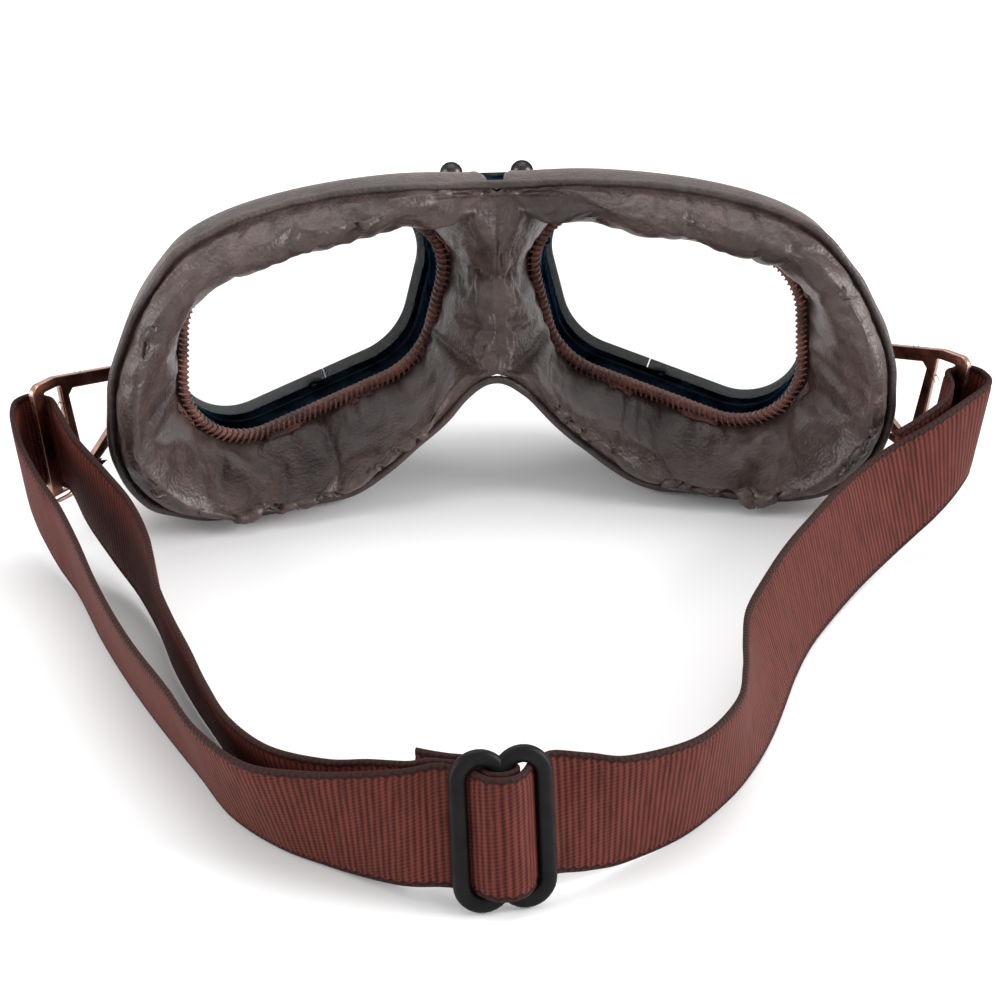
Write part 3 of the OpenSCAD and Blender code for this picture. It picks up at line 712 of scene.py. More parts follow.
# ---- Lenses ----
# Each lens is one clear pane of laminated glass with ground edges, very slightly domed.
lens_glass, glass_tree, glass_shader = new_material(
    "clear laminated glass", Base_Color=rgb("#eef4f4"), IOR=1.5, Specular_IOR_Level=0.5,
    Alpha=0.1)
haze = add(glass_tree, "ShaderNodeTexNoise", {
    "Vector": add(glass_tree, "ShaderNodeTexCoord").outputs["Object"],
    "Scale": 1 / (12 * MM), "Detail": 3})
wiped = add(glass_tree, "ShaderNodeMapRange", {"Value": haze.outputs["Fac"], "To Min": 0.02,
                                               "To Max": 0.06})
glass_tree.links.new(wiped.outputs[0], glass_shader.inputs["Roughness"])
for word, side in SIDES.items():
    bm = bmesh.new()
    middle = Vector((sum(p.x for p in eye_line), sum(p.y for p in eye_line))) / RING_COUNT

    def pane(share, w):
        """One ring of the pane at a share of its width, at depth w."""
        ring = []
        for p in eye_line:
            edge = Vector((p.x + math.cos(p.z), p.y + math.sin(p.z)))
            q = middle + (edge - middle) * share
            ring.append(placed(at_lens(q.x, q.y, w), side))
        return ring

    dome = [(s / 8, 0.7 * (1 - (s / 8) ** 2)) for s in range(1, 8)]
    rings = [pane(s, 9.3 + h) for s, h in dome] + [pane(0.985, 9.32), pane(1, 9.6),
                                                 pane(1, 11.0), pane(0.985, 11.28)]
    rings += [pane(s, 11.3 + h) for s, h in reversed(dome)]
    loft(bm, rings, False, caps=True)
    lens = new_piece(f"{word}_lens_pane", outward(bm), lens_glass, sharp=50)
    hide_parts(f"{word}_lens")
    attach(lens, f"{word}_frame")

# ---- Overlocked edges of the eye openings ----
# The raw leather edge of each opening is closed with waxed thread: a rope of slanting loops,
# side by side, from the metal ring up over the edge and back into the leather.
LOOP_COUNT, THREAD_R = 132, 0.27


def waxed_thread(name, dark, light):
    """Twisted waxed linen thread: two tones along the twist and a low, oily shine."""
    made, tree, shader = new_material(name, Specular_IOR_Level=0.45, Sheen_Weight=0.2,
                                      Sheen_Roughness=0.5)
    place = add(tree, "ShaderNodeTexCoord").outputs["Object"]
    # The real twist repeats each 0.3 mm, drawn at 0.6 mm so that it shows.
    twist = add(tree, "ShaderNodeTexNoise", {"Vector": place, "Scale": 1 / (0.6 * MM),
                                             "Detail": 2})
    wear = add(tree, "ShaderNodeTexNoise", {"Vector": place, "Scale": 1 / (6 * MM),
                                            "Detail": 2})
    both = add(tree, "ShaderNodeMath", {0: twist.outputs["Fac"], 1: wear.outputs["Fac"]},
               operation="ADD")
    share = add(tree, "ShaderNodeMapRange", {"Value": both.outputs[0], "From Min": 0.75,
                                             "From Max": 1.25})
    colour = add(tree, "ShaderNodeMix", {0: share.outputs[0], 6: rgb(dark), 7: rgb(light)},
                 data_type="RGBA")
    rough = add(tree, "ShaderNodeMapRange", {"Value": twist.outputs["Fac"], "To Min": 0.42,
                                             "To Max": 0.7})
    bump = add(tree, "ShaderNodeBump", {"Height": twist.outputs["Fac"], "Strength": 0.5,
                                        "Distance": 0.12 * MM})
    dress(tree, shader, colour, rough, bump)
    return made


def thread_run(bm, path, radius, sides=6, taper=0.7):
    """A short thread of round section along a path of points in metres, with closed ends."""
    rings, n = [], len(path)
    for i, p in enumerate(path):
        e = (path[min(i + 1, n - 1)] - path[max(i - 1, 0)]).normalized()
        a = e.orthogonal().normalized()
        b = e.cross(a)
        r = radius * (taper if i in (0, n - 1) else 1)
        rings.append([p + r * (math.cos(k) * a + math.sin(k) * b)
                      for k in (2 * math.pi * h / sides for h in range(sides))])
    for i in range(1, n):
        turn = min(range(sides), key=lambda s: sum(
            (rings[i][(k + s) % sides] - rings[i - 1][k] - path[i] + path[i - 1]).length
            for k in range(sides)))
        rings[i] = rings[i][turn:] + rings[i][:turn]
    loft(bm, rings, False, caps=True)


binding_thread = waxed_thread("waxed binding thread", "#3d211d", "#8f5a4c")
EDGE_SECTION = rounded([(0.1, 0.25, 0.1), (1.7, 0.25, 0.1), (1.9, -2.5, 0.8),
                        (0.1, -2.5, 0.8)])
eye_fine = eye_outline(LOOP_COUNT * 4)
for word, side in SIDES.items():
    bm = bmesh.new()
    loft(bm, [[placed(let_out(p, d, w), side) for d, w in EDGE_SECTION] for p in eye_line], True)
    for k in range(LOOP_COUNT):
        wobble = noise.noise(Vector((k * 0.7, side * 3.1, 0)))
        path = []
        for step, (d, w) in enumerate(((0.0, -0.15), (-0.2, -1.6), (0.3, -2.85),
                                       (1.5, -2.95), (2.4 + 0.5 * wobble, -2.6))):
            p = eye_fine[int(4 * k + step * 0.9) % len(eye_fine)]
            path.append(placed(let_out(p, d, w + 0.12 * wobble), side))
        thread_run(bm, path, THREAD_R * MM * (1 + 0.2 * wobble))
    binding = new_piece(f"{word}_overlock", outward(bm), binding_thread, sharp=60)
    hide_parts(f"{word}_eye_binding")
    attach(binding, f"{word}_frame")

# ---- Lacing ----
# Eight bundles of heavier thread round each opening tie the leather down to the flange.
# Each bundle is four strands side by side, sunk into the foot of the roll.
LACING_TURNS = (20, 62, 104, 150, 196, 238, 285, 330)
lacing_thread = waxed_thread("waxed lacing thread", "#2c1514", "#6d3b33")
for word, side in SIDES.items():
    skin = BVHTree.FromObject(rolls[word], bpy.context.evaluated_depsgraph_get())
    bm = bmesh.new()
    for turn in LACING_TURNS:
        a = math.radians(turn)
        reach = eye_reach(a, 0)
        for strand in range(4):
            path = []
            for h in range(9):
                b = a + (h - 4) * (0.85 - 0.06 * strand) / reach
                r = eye_reach(b, 2.7 + 0.12 * strand)
                x = LENS.x + r * math.cos(b)
                aim = Vector((x, lens_plane(x) + 2.3 + 0.62 * strand,
                              LENS.z + r * math.sin(b)))
                hit, normal, _, _ = skin.find_nearest(placed(aim, side))
                towards = placed((LENS.x, lens_plane(LENS.x) + 12, LENS.z), side) - hit
                normal = normal if normal.dot(towards) > 0 else -normal
                lift = 0.1 if h in (0, 8) else 0.34
                path.append(hit + normal * lift * MM)
            thread_run(bm, path, 0.33 * MM, sides=8)
    lacing = new_piece(f"{word}_lacing", outward(bm), lacing_thread, sharp=60)
    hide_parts(f"{word}_lacing_thread")
    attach(lacing, f"{word}_frame")

# ---- Bridge bar and its pins ----
# A forged bar of two leaves and a web joins the frames over the nose; a domed pin goes down
# through each end. The leaves have their corners eased by tumbling.
BAR_TOP, BAR_LOW, BAR_R = (62.3, 66.8), (45.4, 49.7), 2.9
bridge_steel = blackened("tumbled bridge steel", ("#2c2a2b", "#55504c"), (0.22, 0.4), 5)


def flat_part(outline, holes, thickness, ease):
    """A plate cut from its outline and holes (millimetres), with its edges eased."""
    curve = bpy.data.curves.new("plate", "CURVE")
    curve.dimensions = "2D"
    curve.fill_mode = "BOTH"
    curve.extrude = thickness / 2 - ease
    curve.bevel_depth = ease
    curve.bevel_resolution = 2
    curve.offset = -ease
    for loop in [outline] + holes:
        line = curve.splines.new("POLY")
        line.points.add(len(loop) - 1)
        for point, p in zip(line.points, loop):
            point.co = (p[0], p[1], 0, 1)
        line.use_cyclic_u = True
    obj = bpy.data.objects.new("plate", curve)
    bpy.context.collection.objects.link(obj)
    mesh = bpy.data.meshes.new_from_object(obj.evaluated_get(
        bpy.context.evaluated_depsgraph_get()))
    bpy.data.objects.remove(obj)
    bm = bmesh.new()
    bm.from_mesh(mesh)
    bmesh.ops.remove_doubles(bm, verts=bm.verts, dist=1e-4)
    return bm


def merge(bm, other, move):
    """Adds another bmesh's shape, with every point put in place by move."""
    for v in other.verts:
        v.co = move(v.co)
    mesh = bpy.data.meshes.new("part")
    other.to_mesh(mesh)
    other.free()
    bm.from_mesh(mesh)
    bpy.data.meshes.remove(mesh)


def eased(outline, radius, steps=5):
    """An outline with rounded corners."""
    return rounded([(x, y, radius) for x, y in outline], steps)


arc = [(BRIDGE_PIN[0] + BAR_R * math.cos(t), BAR_R * math.sin(t))
       for t in (math.radians(d) for d in range(-90, 91, 10))]
leaf = arc + [(-x, -y) for x, y in arc]
bore = [(BRIDGE_PIN_R + 0.05) * Vector((math.cos(t), math.sin(t)))
        for t in (2 * math.pi * k / 24 for k in range(24))]
bores = [[(s * BRIDGE_PIN[0] + p.x, p.y) for p in bore] for s in (-1, 1)]
bm = bmesh.new()
for low, high in (BAR_TOP, BAR_LOW):
    merge(bm, flat_part(leaf, bores, high - low, 0.45),
          lambda p, z=(low + high) / 2: placed((p.x, BRIDGE_PIN[1] + p.y, z + p.z)))
block(bm, (-3.4, BRIDGE_PIN[1] - 1.3, BAR_LOW[1] - 1), (3.4, BRIDGE_PIN[1] + 1.3, BAR_TOP[0] + 1),
      1, bevel=0.5, lens=False)
bridge = new_piece("bridge_leaves", outward(bm), bridge_steel, sharp=35)
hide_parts("bridge_bar")
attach(bridge, "mask")
DOME = [(0.001, BAR_TOP[1] + 3.6), (0.7, BAR_TOP[1] + 3.52), (1.4, BAR_TOP[1] + 3.25),
        (2.0, BAR_TOP[1] + 2.75), (2.45, BAR_TOP[1] + 2.1), (2.66, BAR_TOP[1] + 1.3),
        (2.7, BAR_TOP[1] + 0.6), (2.6, BAR_TOP[1] + 0.1)]
for word, side in SIDES.items():
    bm = bmesh.new()
    profile = DOME + [(BRIDGE_PIN_R, BAR_TOP[1] + 0.1), (BRIDGE_PIN_R, BAR_LOW[0] - 0.1),
                      (2.2, BAR_LOW[0] - 0.1), (2.3, BAR_LOW[0] - 0.4), (2.3, BAR_LOW[0] - 1.2),
                      (2.0, BAR_LOW[0] - 1.55), (0.001, BAR_LOW[0] - 1.6)]
    turned(bm, (*BRIDGE_PIN, 0), profile, side=side)
    pin = new_piece(f"{word}_domed_pin", outward(bm), bridge_steel, sharp=35)
    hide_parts(f"{word}_bridge_pin")
    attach(pin, "mask")

# ---- Strap brackets and their pins ----
# A stamped brass plate, copper plated and darkened, holds each end of the strap in a slot and
# hinges on an upright pin at the temple. Handling has rubbed its edges back to bright copper.
BRACKET_TURN, PLATE_T = math.radians(51), 1.5
PLATE = [(1, 4.3), (8, 5.4), (35.5, 11.5), (41.5, 11.5), (43, 10), (37.8, -17.5), (36, -19),
         (31, -19), (29.5, -18), (8, -5.4), (1, -4.3)]
SLOT = [(33.8, 9), (39.4, 9), (34.5, -16.6), (28.9, -16.6)]
WINDOW = [(11, 2.8), (30.2, 7), (31, 6.2), (26.6, -12.4), (25.4, -12.8), (11, -3)]
copper, tree, shader = new_material("antiqued copper plate", Metallic=1.0)
place = add(tree, "ShaderNodeTexCoord").outputs["Object"]
cloud = add(tree, "ShaderNodeTexNoise", {"Vector": place, "Scale": 1 / (9 * MM), "Detail": 5,
                                         "Roughness": 0.65})
tarnish = add(tree, "ShaderNodeMapRange", {"Value": cloud.outputs["Fac"], "From Min": 0.34,
                                           "From Max": 0.62})
colour = add(tree, "ShaderNodeMix", {0: tarnish.outputs[0], 6: rgb("#2b211f"),
                                     7: rgb("#9a6554")}, data_type="RGBA")
rough = add(tree, "ShaderNodeMapRange", {"Value": cloud.outputs["Fac"], "To Min": 0.2,
                                         "To Max": 0.5})
pits = add(tree, "ShaderNodeTexNoise", {"Vector": place, "Scale": 1 / (0.8 * MM), "Detail": 3})
bump = add(tree, "ShaderNodeBump", {"Height": pits.outputs["Fac"], "Strength": 0.15,
                                    "Distance": 0.1 * MM})
dress(tree, shader, colour, rough, bump)
# The rubbed edges are the same plate with its tarnish gone: lighter, pinker and shinier.
worn_copper, tree, shader = new_material("rubbed copper edge", Metallic=1.0)
place = add(tree, "ShaderNodeTexCoord").outputs["Object"]
scuff = add(tree, "ShaderNodeTexNoise", {"Vector": place, "Scale": 1 / (3 * MM), "Detail": 4})
colour = add(tree, "ShaderNodeMix", {0: scuff.outputs["Fac"], 6: rgb("#7c5346"),
                                     7: rgb("#e0bdae")}, data_type="RGBA")
rough = add(tree, "ShaderNodeMapRange", {"Value": scuff.outputs["Fac"], "To Min": 0.16,
                                         "To Max": 0.36})
dress(tree, shader, colour, rough)


def on_bracket(s, n, h, side):
    """A point of a bracket: s outwards along the plate, n off its face, h up."""
    c, t = math.cos(BRACKET_TURN), math.sin(BRACKET_TURN)
    return placed((BRACKET_PIN[0] + s * c - n * t, BRACKET_PIN[1] + s * t + n * c,
                   BRACKET_Z + h), side)


for word, side in SIDES.items():
    bm = bmesh.new()
    plate = flat_part(eased(PLATE, 0.8), [eased(SLOT, 0.9), eased(WINDOW, 0.7)], PLATE_T, 0.3)
    merge(bm, plate, lambda p: on_bracket(p.x, -p.z, p.y, side))
    face = Vector((-math.sin(BRACKET_TURN) * side, math.cos(BRACKET_TURN), 0))
    bm.normal_update()
    for f in bm.faces:
        f.material_index = int(abs(f.normal.dot(face)) < 0.96)
    turned(bm, (*BRACKET_PIN, BRACKET_Z), tube_profile(2.2, BRACKET_PIN_R + 0.05, -4.4, 4.4),
           side=side)
    bracket = new_piece(f"{word}_bracket", outward(bm), copper, worn_copper, sharp=35)
    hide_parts(f"{word}_strap_bracket")
    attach(bracket, f"{word}_bracket")
    bm = bmesh.new()
    rivet = [(0.001, 11.35), (1.1, 11.3), (1.7, 10.95), (1.8, 10.6), (1.75, 10.1),
             (BRACKET_PIN_R, 10.1)]
    turned(bm, (*BRACKET_PIN, BRACKET_Z), rivet + [(r, -h) for r, h in reversed(rivet)],
           side=side)
    pin = new_piece(f"{word}_hinge_rivet", outward(bm), worn_copper, sharp=35)
    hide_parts(f"{word}_bracket_pin")
    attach(pin, f"{word}_frame")

# ---- Elastic strap ----
# One length of 25 mm woven elastic: cross ribs over rubber cores, a dense selvedge at each
# edge, and a run from the right bracket through the slider, round the left bracket and back.
# Each station is the lower edge (x, y, z) and how far the upper edge leans (dx, dy).
STRAP_W, STRAP_T, RIB = 24.5, 1.5, 1.3
SLIDER, SLIDER_TURN, SLIDER_LEAN = (12.6, 184.0), math.radians(9), math.radians(10.5)
SLIDER_Z = 3.75
right_tail = [(-90.4, 34, 4.3, 4.4, 0.6), (-94.6, 29.6, 6.2, 3.2, 2.6),
              (-97.2, 24.8, 8.6, -0.4, 3.6), (-97.8, 20, 10.6, -2.6, 4)]
bracket_loop = [(105.8, 19.3, 10.4), (105.2, 15.2, 11.6), (102.4, 12.6, 11.9),
                (100.2, 12.8, 11.9), (98.7, 14, 11.9), (97.2, 15.4, 11.8)]
left_loop = [(x, y, z, 3.1, 3.7) for x, y, z in bracket_loop]
right_loop = [(-x, y, z, -3.1, 3.7) for x, y, z in reversed(bracket_loop)]
right_run = [(-101.6, 26, 8, 0.6, 3.6), (-96.2, 31.5, 5.2, 3, 2.6), (-90.2, 37, 2.8, 4.6, 0.4),
             (-84, 43.6, 1, 5.4, -1.2), (-75.2, 56, 0.2, 5, -2.6), (-67, 70, 0.1, 4.8, -2.6),
             (-60.2, 83, 0.1, 5, -2.8), (-55, 96, 0.1, 6, -2.6), (-50.4, 110, 0.1, 7.6, -1.6),
             (-46.2, 122, 0.1, 6, 0.4), (-41, 134, 0.1, 2.6, 2), (-34.2, 146, 0.1, -1, 3.6),
             (-23.4, 159.6, 0.1, -2.4, 4), (-11, 169.8, 0.8, -0.8, 2), (-3.6, 175, 2.4, 0, -2)]
slider_pass = [(-11.4, -3.8), (-8.7, -3), (-6.5, -1.7), (-5, 0.8), (-2.9, 3.3), (0, 4.2),
               (2.8, 3.4), (4.9, 0.8), (6.5, -1.7), (8.7, -3), (11.6, -4.2)]
left_run = [(31, 177.6, 2.2, 0.4, -1.4), (38, 171.8, 1, 2, 2.4), (45, 165.6, 0.3, 4, 5.4),
            (54, 157.6, 0.1, 6.6, 7), (62.6, 145.6, 0.1, 7.4, 4.6), (68.4, 130, 0.1, 7.6, 2.6),
            (74.4, 114, 0.1, 7.6, 2), (79.6, 99.5, 0.1, 7, 1.6), (84.8, 83.5, 0.1, 6, 1.2),
            (89.6, 67, 0.2, 4.8, 1), (94.2, 49, 0.8, 4.6, 1.6), (99, 37.5, 2.8, 4.2, 2.4),
            (102.8, 28.5, 6, 3.8, 3.4), (104.6, 24, 8.4, 3.4, 4)]
return_run = [(95.7, 18.8, 11, 3.2, 4), (92.6, 27, 7.8, 2.6, 4), (87, 38, 3.8, 1.6, 3),
              (81.6, 49.4, 1, 1.4, 2.4), (77, 66, 0.1, 2.4, 2), (73.6, 84, 0.1, 4.4, 2),
              (69.2, 101, 0.1, 5.6, 2), (64.6, 116, 0.1, 6.6, 2), (60.6, 130, 0.1, 7.4, 2.4),
              (56.2, 143, 0.1, 7.4, 4), (49.6, 153, 0.1, 6.4, 6), (41.4, 161.8, 0.4, 4, 5),
              (35.6, 168, 1.2, 2, 2), (29.8, 175.4, 2.4, 0.6, -1.8)]
slider_end = [(12, -6.3), (8.7, -4.95), (6.6, -4), (4.4, -2.3), (3.6, -0.6), (2.5, 1.3),
              (0, 2.2), (-2.3, 1.4), (-3.2, 0), (-2.3, -1.4), (0, -2.25), (2.2, -3.4),
              (5, -5.8), (8, -7.2), (11, -9), (13.5, -10.8)]


def by_slider(t, n):
    """A station beside the slider: t along the strap, n outwards from the centre bar."""
    out, lean = n - SLIDER_Z * math.tan(SLIDER_LEAN), STRAP_W * math.sin(SLIDER_LEAN)
    c, s = math.cos(SLIDER_TURN), math.sin(SLIDER_TURN)
    return (SLIDER[0] + t * c - out * s, SLIDER[1] + t * s + out * c, SLIDER_Z, lean * s,
            -lean * c)


def route_spline(p, i, t):
    """The smooth strap route at share t of the stretch after station i."""
    a, b, c, d = (p[min(max(i + k, 0), len(p) - 1)] for k in (-1, 0, 1, 2))
    return [0.5 * (2 * q + (r - o) * t + (2 * o - 5 * q + 4 * r - s) * t * t
                   + (3 * q - o - 3 * r + s) * t ** 3) for o, q, r, s in zip(a, b, c, d)]


route = right_tail + right_loop + right_run + [by_slider(*p) for p in slider_pass] + left_run \
    + left_loop + return_run + [by_slider(*p) for p in slider_end]
fine_route = [route_spline(route, i, t / 16) for i in range(len(route) - 1) for t in range(16)]
fine_route.append(list(route[-1]))


def even_route(points, pitch):
    """Stations at an even pitch along the middle of the webbing, with their distance."""
    middle = [Vector((p[0] + p[3] / 2, p[1] + p[4] / 2, p[2])) for p in points]
    lengths = [0]
    for p, q in zip(middle, middle[1:]):
        lengths.append(lengths[-1] + (q - p).length)
    count = round(lengths[-1] / pitch)
    made, k = [], 0
    for i in range(count + 1):
        s = lengths[-1] * i / count
        while k < len(lengths) - 2 and lengths[k + 1] < s:
            k += 1
        t = (s - lengths[k]) / (lengths[k + 1] - lengths[k])
        made.append((s, [a + (b - a) * t for a, b in zip(points[k], points[k + 1])]))
    return made


stations = even_route(fine_route, RIB / 2)
WEB_SECTION = [(0, 0), (0.25, 0.5), (0.7, 0.66), (1.3, 0.62), (1.75, 0.5), (2.2, 0.68),
               (4.5, 0.72), (8.5, 0.72), (12.5, 0.72)]
WEB_SECTION += [(STRAP_W - a, b) for a, b in reversed(WEB_SECTION[:-1])]
WEB_SECTION += [(a, -b) for a, b in reversed(WEB_SECTION[1:-1])]
strap_frames = []
for j, (s, p) in enumerate(stations):
    before, after = stations[max(j - 2, 0)][1], stations[min(j + 2, len(stations) - 1)][1]
    up = Vector((p[3], p[4], math.sqrt(STRAP_W ** 2 - p[3] ** 2 - p[4] ** 2))) / STRAP_W
    run = Vector(after[:3]) - Vector(before[:3])
    strap_frames.append((s, Vector(p[:3]), up, run.cross(up).normalized()))


def on_strap(j, across, off):
    """A point of the strap at station j: across its width, and off its middle layer."""
    s, p, up, n = strap_frames[j]
    return placed(p + up * across + n * off)


# The weave is drawn from the strap's own UV map, in millimetres along and across the webbing.
webbing, tree, shader = new_material("woven elastic webbing", Specular_IOR_Level=0.12,
                                     Sheen_Weight=0.06, Sheen_Roughness=0.45,
                                     Sheen_Tint=rgb("#b06a5c"))
uv = add(tree, "ShaderNodeUVMap", uv_map="webbing")
axes = add(tree, "ShaderNodeSeparateXYZ", {0: uv.outputs[0]})
along, across = axes.outputs["X"], axes.outputs["Y"]
# One rib each 1.3 mm, and warp threads across the width each 0.75 mm.
rib_turn = add(tree, "ShaderNodeMath", {0: along, 1: 2 * math.pi / RIB}, operation="MULTIPLY")
rib = add(tree, "ShaderNodeMath", {0: rib_turn.outputs[0]}, operation="COSINE")
warp_turn = add(tree, "ShaderNodeMath", {0: across, 1: 2 * math.pi / 0.75},
                operation="MULTIPLY")
half_rib = add(tree, "ShaderNodeMath", {0: rib_turn.outputs[0], 1: 0.5}, operation="MULTIPLY")
warp_sum = add(tree, "ShaderNodeMath", {0: warp_turn.outputs[0], 1: half_rib.outputs[0]},
               operation="ADD")
warp = add(tree, "ShaderNodeMath", {0: warp_sum.outputs[0]}, operation="SINE")
weave = add(tree, "ShaderNodeMath", {0: warp.outputs[0], 1: 0.4, 2: rib.outputs[0]},
            operation="MULTIPLY_ADD")
from_middle = add(tree, "ShaderNodeMath", {0: across, 1: STRAP_W / 2}, operation="SUBTRACT")
from_edge = add(tree, "ShaderNodeMath", {0: from_middle.outputs[0]}, operation="ABSOLUTE")
edge_depth = add(tree, "ShaderNodeMath", {0: STRAP_W / 2, 1: from_edge.outputs[0]},
                 operation="SUBTRACT")
scallop = add(tree, "ShaderNodeMath", {0: half_rib.outputs[0]}, operation="SINE")
edge_line = add(tree, "ShaderNodeMath", {0: scallop.outputs[0], 1: 0.22, 2: 1.0},
                operation="MULTIPLY_ADD")
into_edge = add(tree, "ShaderNodeMath", {0: edge_depth.outputs[0], 1: edge_line.outputs[0]},
                operation="SUBTRACT")
selvedge = add(tree, "ShaderNodeMapRange", {"Value": into_edge.outputs[0], "From Min": 0.15,
                                            "From Max": -0.15})
line_near = add(tree, "ShaderNodeMath", {0: into_edge.outputs[0]}, operation="ABSOLUTE")
line = add(tree, "ShaderNodeMapRange", {"Value": line_near.outputs[0], "From Min": 0.42,
                                        "From Max": 0.12})
stretch = add(tree, "ShaderNodeCombineXYZ", {0: along, 1: across})
slub_place = add(tree, "ShaderNodeMapping", {"Vector": stretch.outputs[0],
                                             "Scale": (0.9, 0.12, 1)})
slub = add(tree, "ShaderNodeTexNoise", {"Vector": slub_place.outputs[0], "Scale": 1.0,
                                        "Detail": 3, "Roughness": 0.6})
weave_share = add(tree, "ShaderNodeMapRange", {"Value": weave.outputs[0], "From Min": -1.6,
                                               "From Max": 1.4, "To Min": 0.15, "To Max": 1.0})
mix_share = add(tree, "ShaderNodeMath", {0: weave_share.outputs[0], 1: slub.outputs["Fac"]},
                operation="MULTIPLY")
spread = add(tree, "ShaderNodeMapRange", {"Value": mix_share.outputs[0], "From Min": 0.08,
                                          "From Max": 0.46})
body = add(tree, "ShaderNodeMix", {0: spread.outputs[0], 6: rgb("#2b110e"),
                                   7: rgb("#5d2c25")}, data_type="RGBA")
edged = add(tree, "ShaderNodeMix", {0: selvedge.outputs[0], 6: body.outputs[2],
                                    7: rgb("#2d1b18")}, data_type="RGBA")
lined = add(tree, "ShaderNodeMix", {0: line.outputs[0], 6: edged.outputs[2],
                                    7: rgb("#22100e")}, data_type="RGBA")
rough = add(tree, "ShaderNodeMapRange", {"Value": weave_share.outputs[0], "To Min": 0.85,
                                         "To Max": 0.62})
fuzz = add(tree, "ShaderNodeTexNoise", {"Vector": stretch.outputs[0], "Scale": 3.0,
                                        "Detail": 3})
coarse = add(tree, "ShaderNodeBump", {"Height": weave_share.outputs[0], "Strength": 0.55,
                                      "Distance": 0.3 * MM})
bump = add(tree, "ShaderNodeBump", {"Height": fuzz.outputs["Fac"], "Strength": 0.3,
                                    "Distance": 0.2 * MM, "Normal": coarse.outputs[0]})
dress(tree, shader, lined, rough, bump)

bm = bmesh.new()
uv_layer = bm.loops.layers.uv.new("webbing")
rings = []
for j in range(len(strap_frames)):
    rib_lift = 0.05 if j % 2 else -0.02
    rings.append([on_strap(j, a, b + math.copysign(rib_lift, b) * (2 < a < STRAP_W - 2))
                  for a, b in WEB_SECTION])
web = loft(bm, rings, False, caps=True)
bm.verts.index_update()
place_on_web = {}
for j, ring in enumerate(web):
    for v, (a, b) in zip(ring, WEB_SECTION):
        place_on_web[v] = (stations[j][0], a, j)
for f in bm.faces:
    for corner in f.loops:
        corner[uv_layer].uv = place_on_web[corner.vert][:2]
bmesh.ops.recalc_face_normals(bm, faces=bm.faces)
bm.normal_update()
strap_normals = {v: v.normal.copy() for v in bm.verts}


def nearest_station(first, last, y):
    """The station between two shares of the route whose lower edge is nearest to y."""
    n = len(stations) - 1
    return min(range(int(first * n), int(last * n)), key=lambda j: abs(stations[j][1][1] - y))


def strap_part(name, ranges):
    """Cuts stretches of the webbing into one piece, which keeps the whole strap's shading."""
    keep = [f for f in bm.faces
            if any(all(a <= place_on_web[v][2] <= b for v in f.verts) for a, b in ranges)]
    part = bmesh.new()
    uv_part = part.loops.layers.uv.new("webbing")
    twin, normals = {}, []
    for f in keep:
        for v in f.verts:
            if v not in twin:
                twin[v] = part.verts.new(v.co)
                normals.append(strap_normals[v])
        made = part.faces.new([twin[v] for v in f.verts])
        made.smooth = True
        for corner, old in zip(made.loops, f.loops):
            corner[uv_part].uv = old[uv_layer].uv
    mesh = bpy.data.meshes.new(name)
    part.to_mesh(mesh)
    part.free()
    mesh.normals_split_custom_set_from_vertices(normals)
    obj = bpy.data.objects.new(name, mesh)
    bpy.context.collection.objects.link(obj)
    mesh.materials.append(webbing)
    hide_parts("elastic_strap")
    return obj


# The strap is cut at stations chosen where it would follow one body; each piece is only baked in
# place here, and the bodies and blend points listed with it are not used.
NEAR_END, NEAR_START = 24.0, 84.0
FAR_END, FAR_START = 98.0, 130.0
CUT_BRACKET, CUT_FRAME = 91.0, 137.0
last = len(stations) - 1
slider_middle = min(range(last // 4, last // 2 + last // 8), key=lambda j: (
    Vector(stations[j][1][:2]) - Vector(by_slider(0, 4.2)[:2])).length)
loop_middle = min(range(slider_middle, last), key=lambda j: stations[j][1][1])
mid, turn_back = slider_middle / last, loop_middle / last
right_a = nearest_station(0.05, mid, CUT_BRACKET)
right_b = nearest_station(0.05, mid, CUT_FRAME)
out_b, out_a = nearest_station(mid, turn_back, CUT_FRAME), nearest_station(mid, turn_back,
                                                                          CUT_BRACKET)
back_a, back_b = nearest_station(turn_back, 1, CUT_BRACKET), nearest_station(turn_back, 1,
                                                                            CUT_FRAME)


def level(x, y):
    return placed((x, y, 14))


parts = [
    ("strap_right_end", [(0, right_a)], "right_frame", "right_bracket",
     level(-90, NEAR_START), level(-90, NEAR_END)),
    ("strap_right_run", [(right_a, right_b)], "mask", "right_frame",
     level(-60, FAR_START), level(-60, FAR_END)),
    ("strap_right_of_slider", [(right_b, slider_middle)], "mask", "slider",
     level(-32, SLIDER[1]), level(0, SLIDER[1])),
    ("strap_left_of_slider", [(slider_middle, out_b), (back_b, last)], "mask", "slider",
     level(56, SLIDER[1]), level(27, SLIDER[1])),
    ("strap_left_run", [(out_b, out_a), (back_a, back_b)], "mask", "left_frame",
     level(70, FAR_START), level(70, FAR_END)),
    ("strap_left_end", [(out_a, back_a)], "left_frame", "left_bracket",
     level(90, NEAR_START), level(90, NEAR_END)),
]
for name, ranges, body_a, body_b, start, end in parts:
    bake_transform(strap_part(name, ranges))
bm.free()

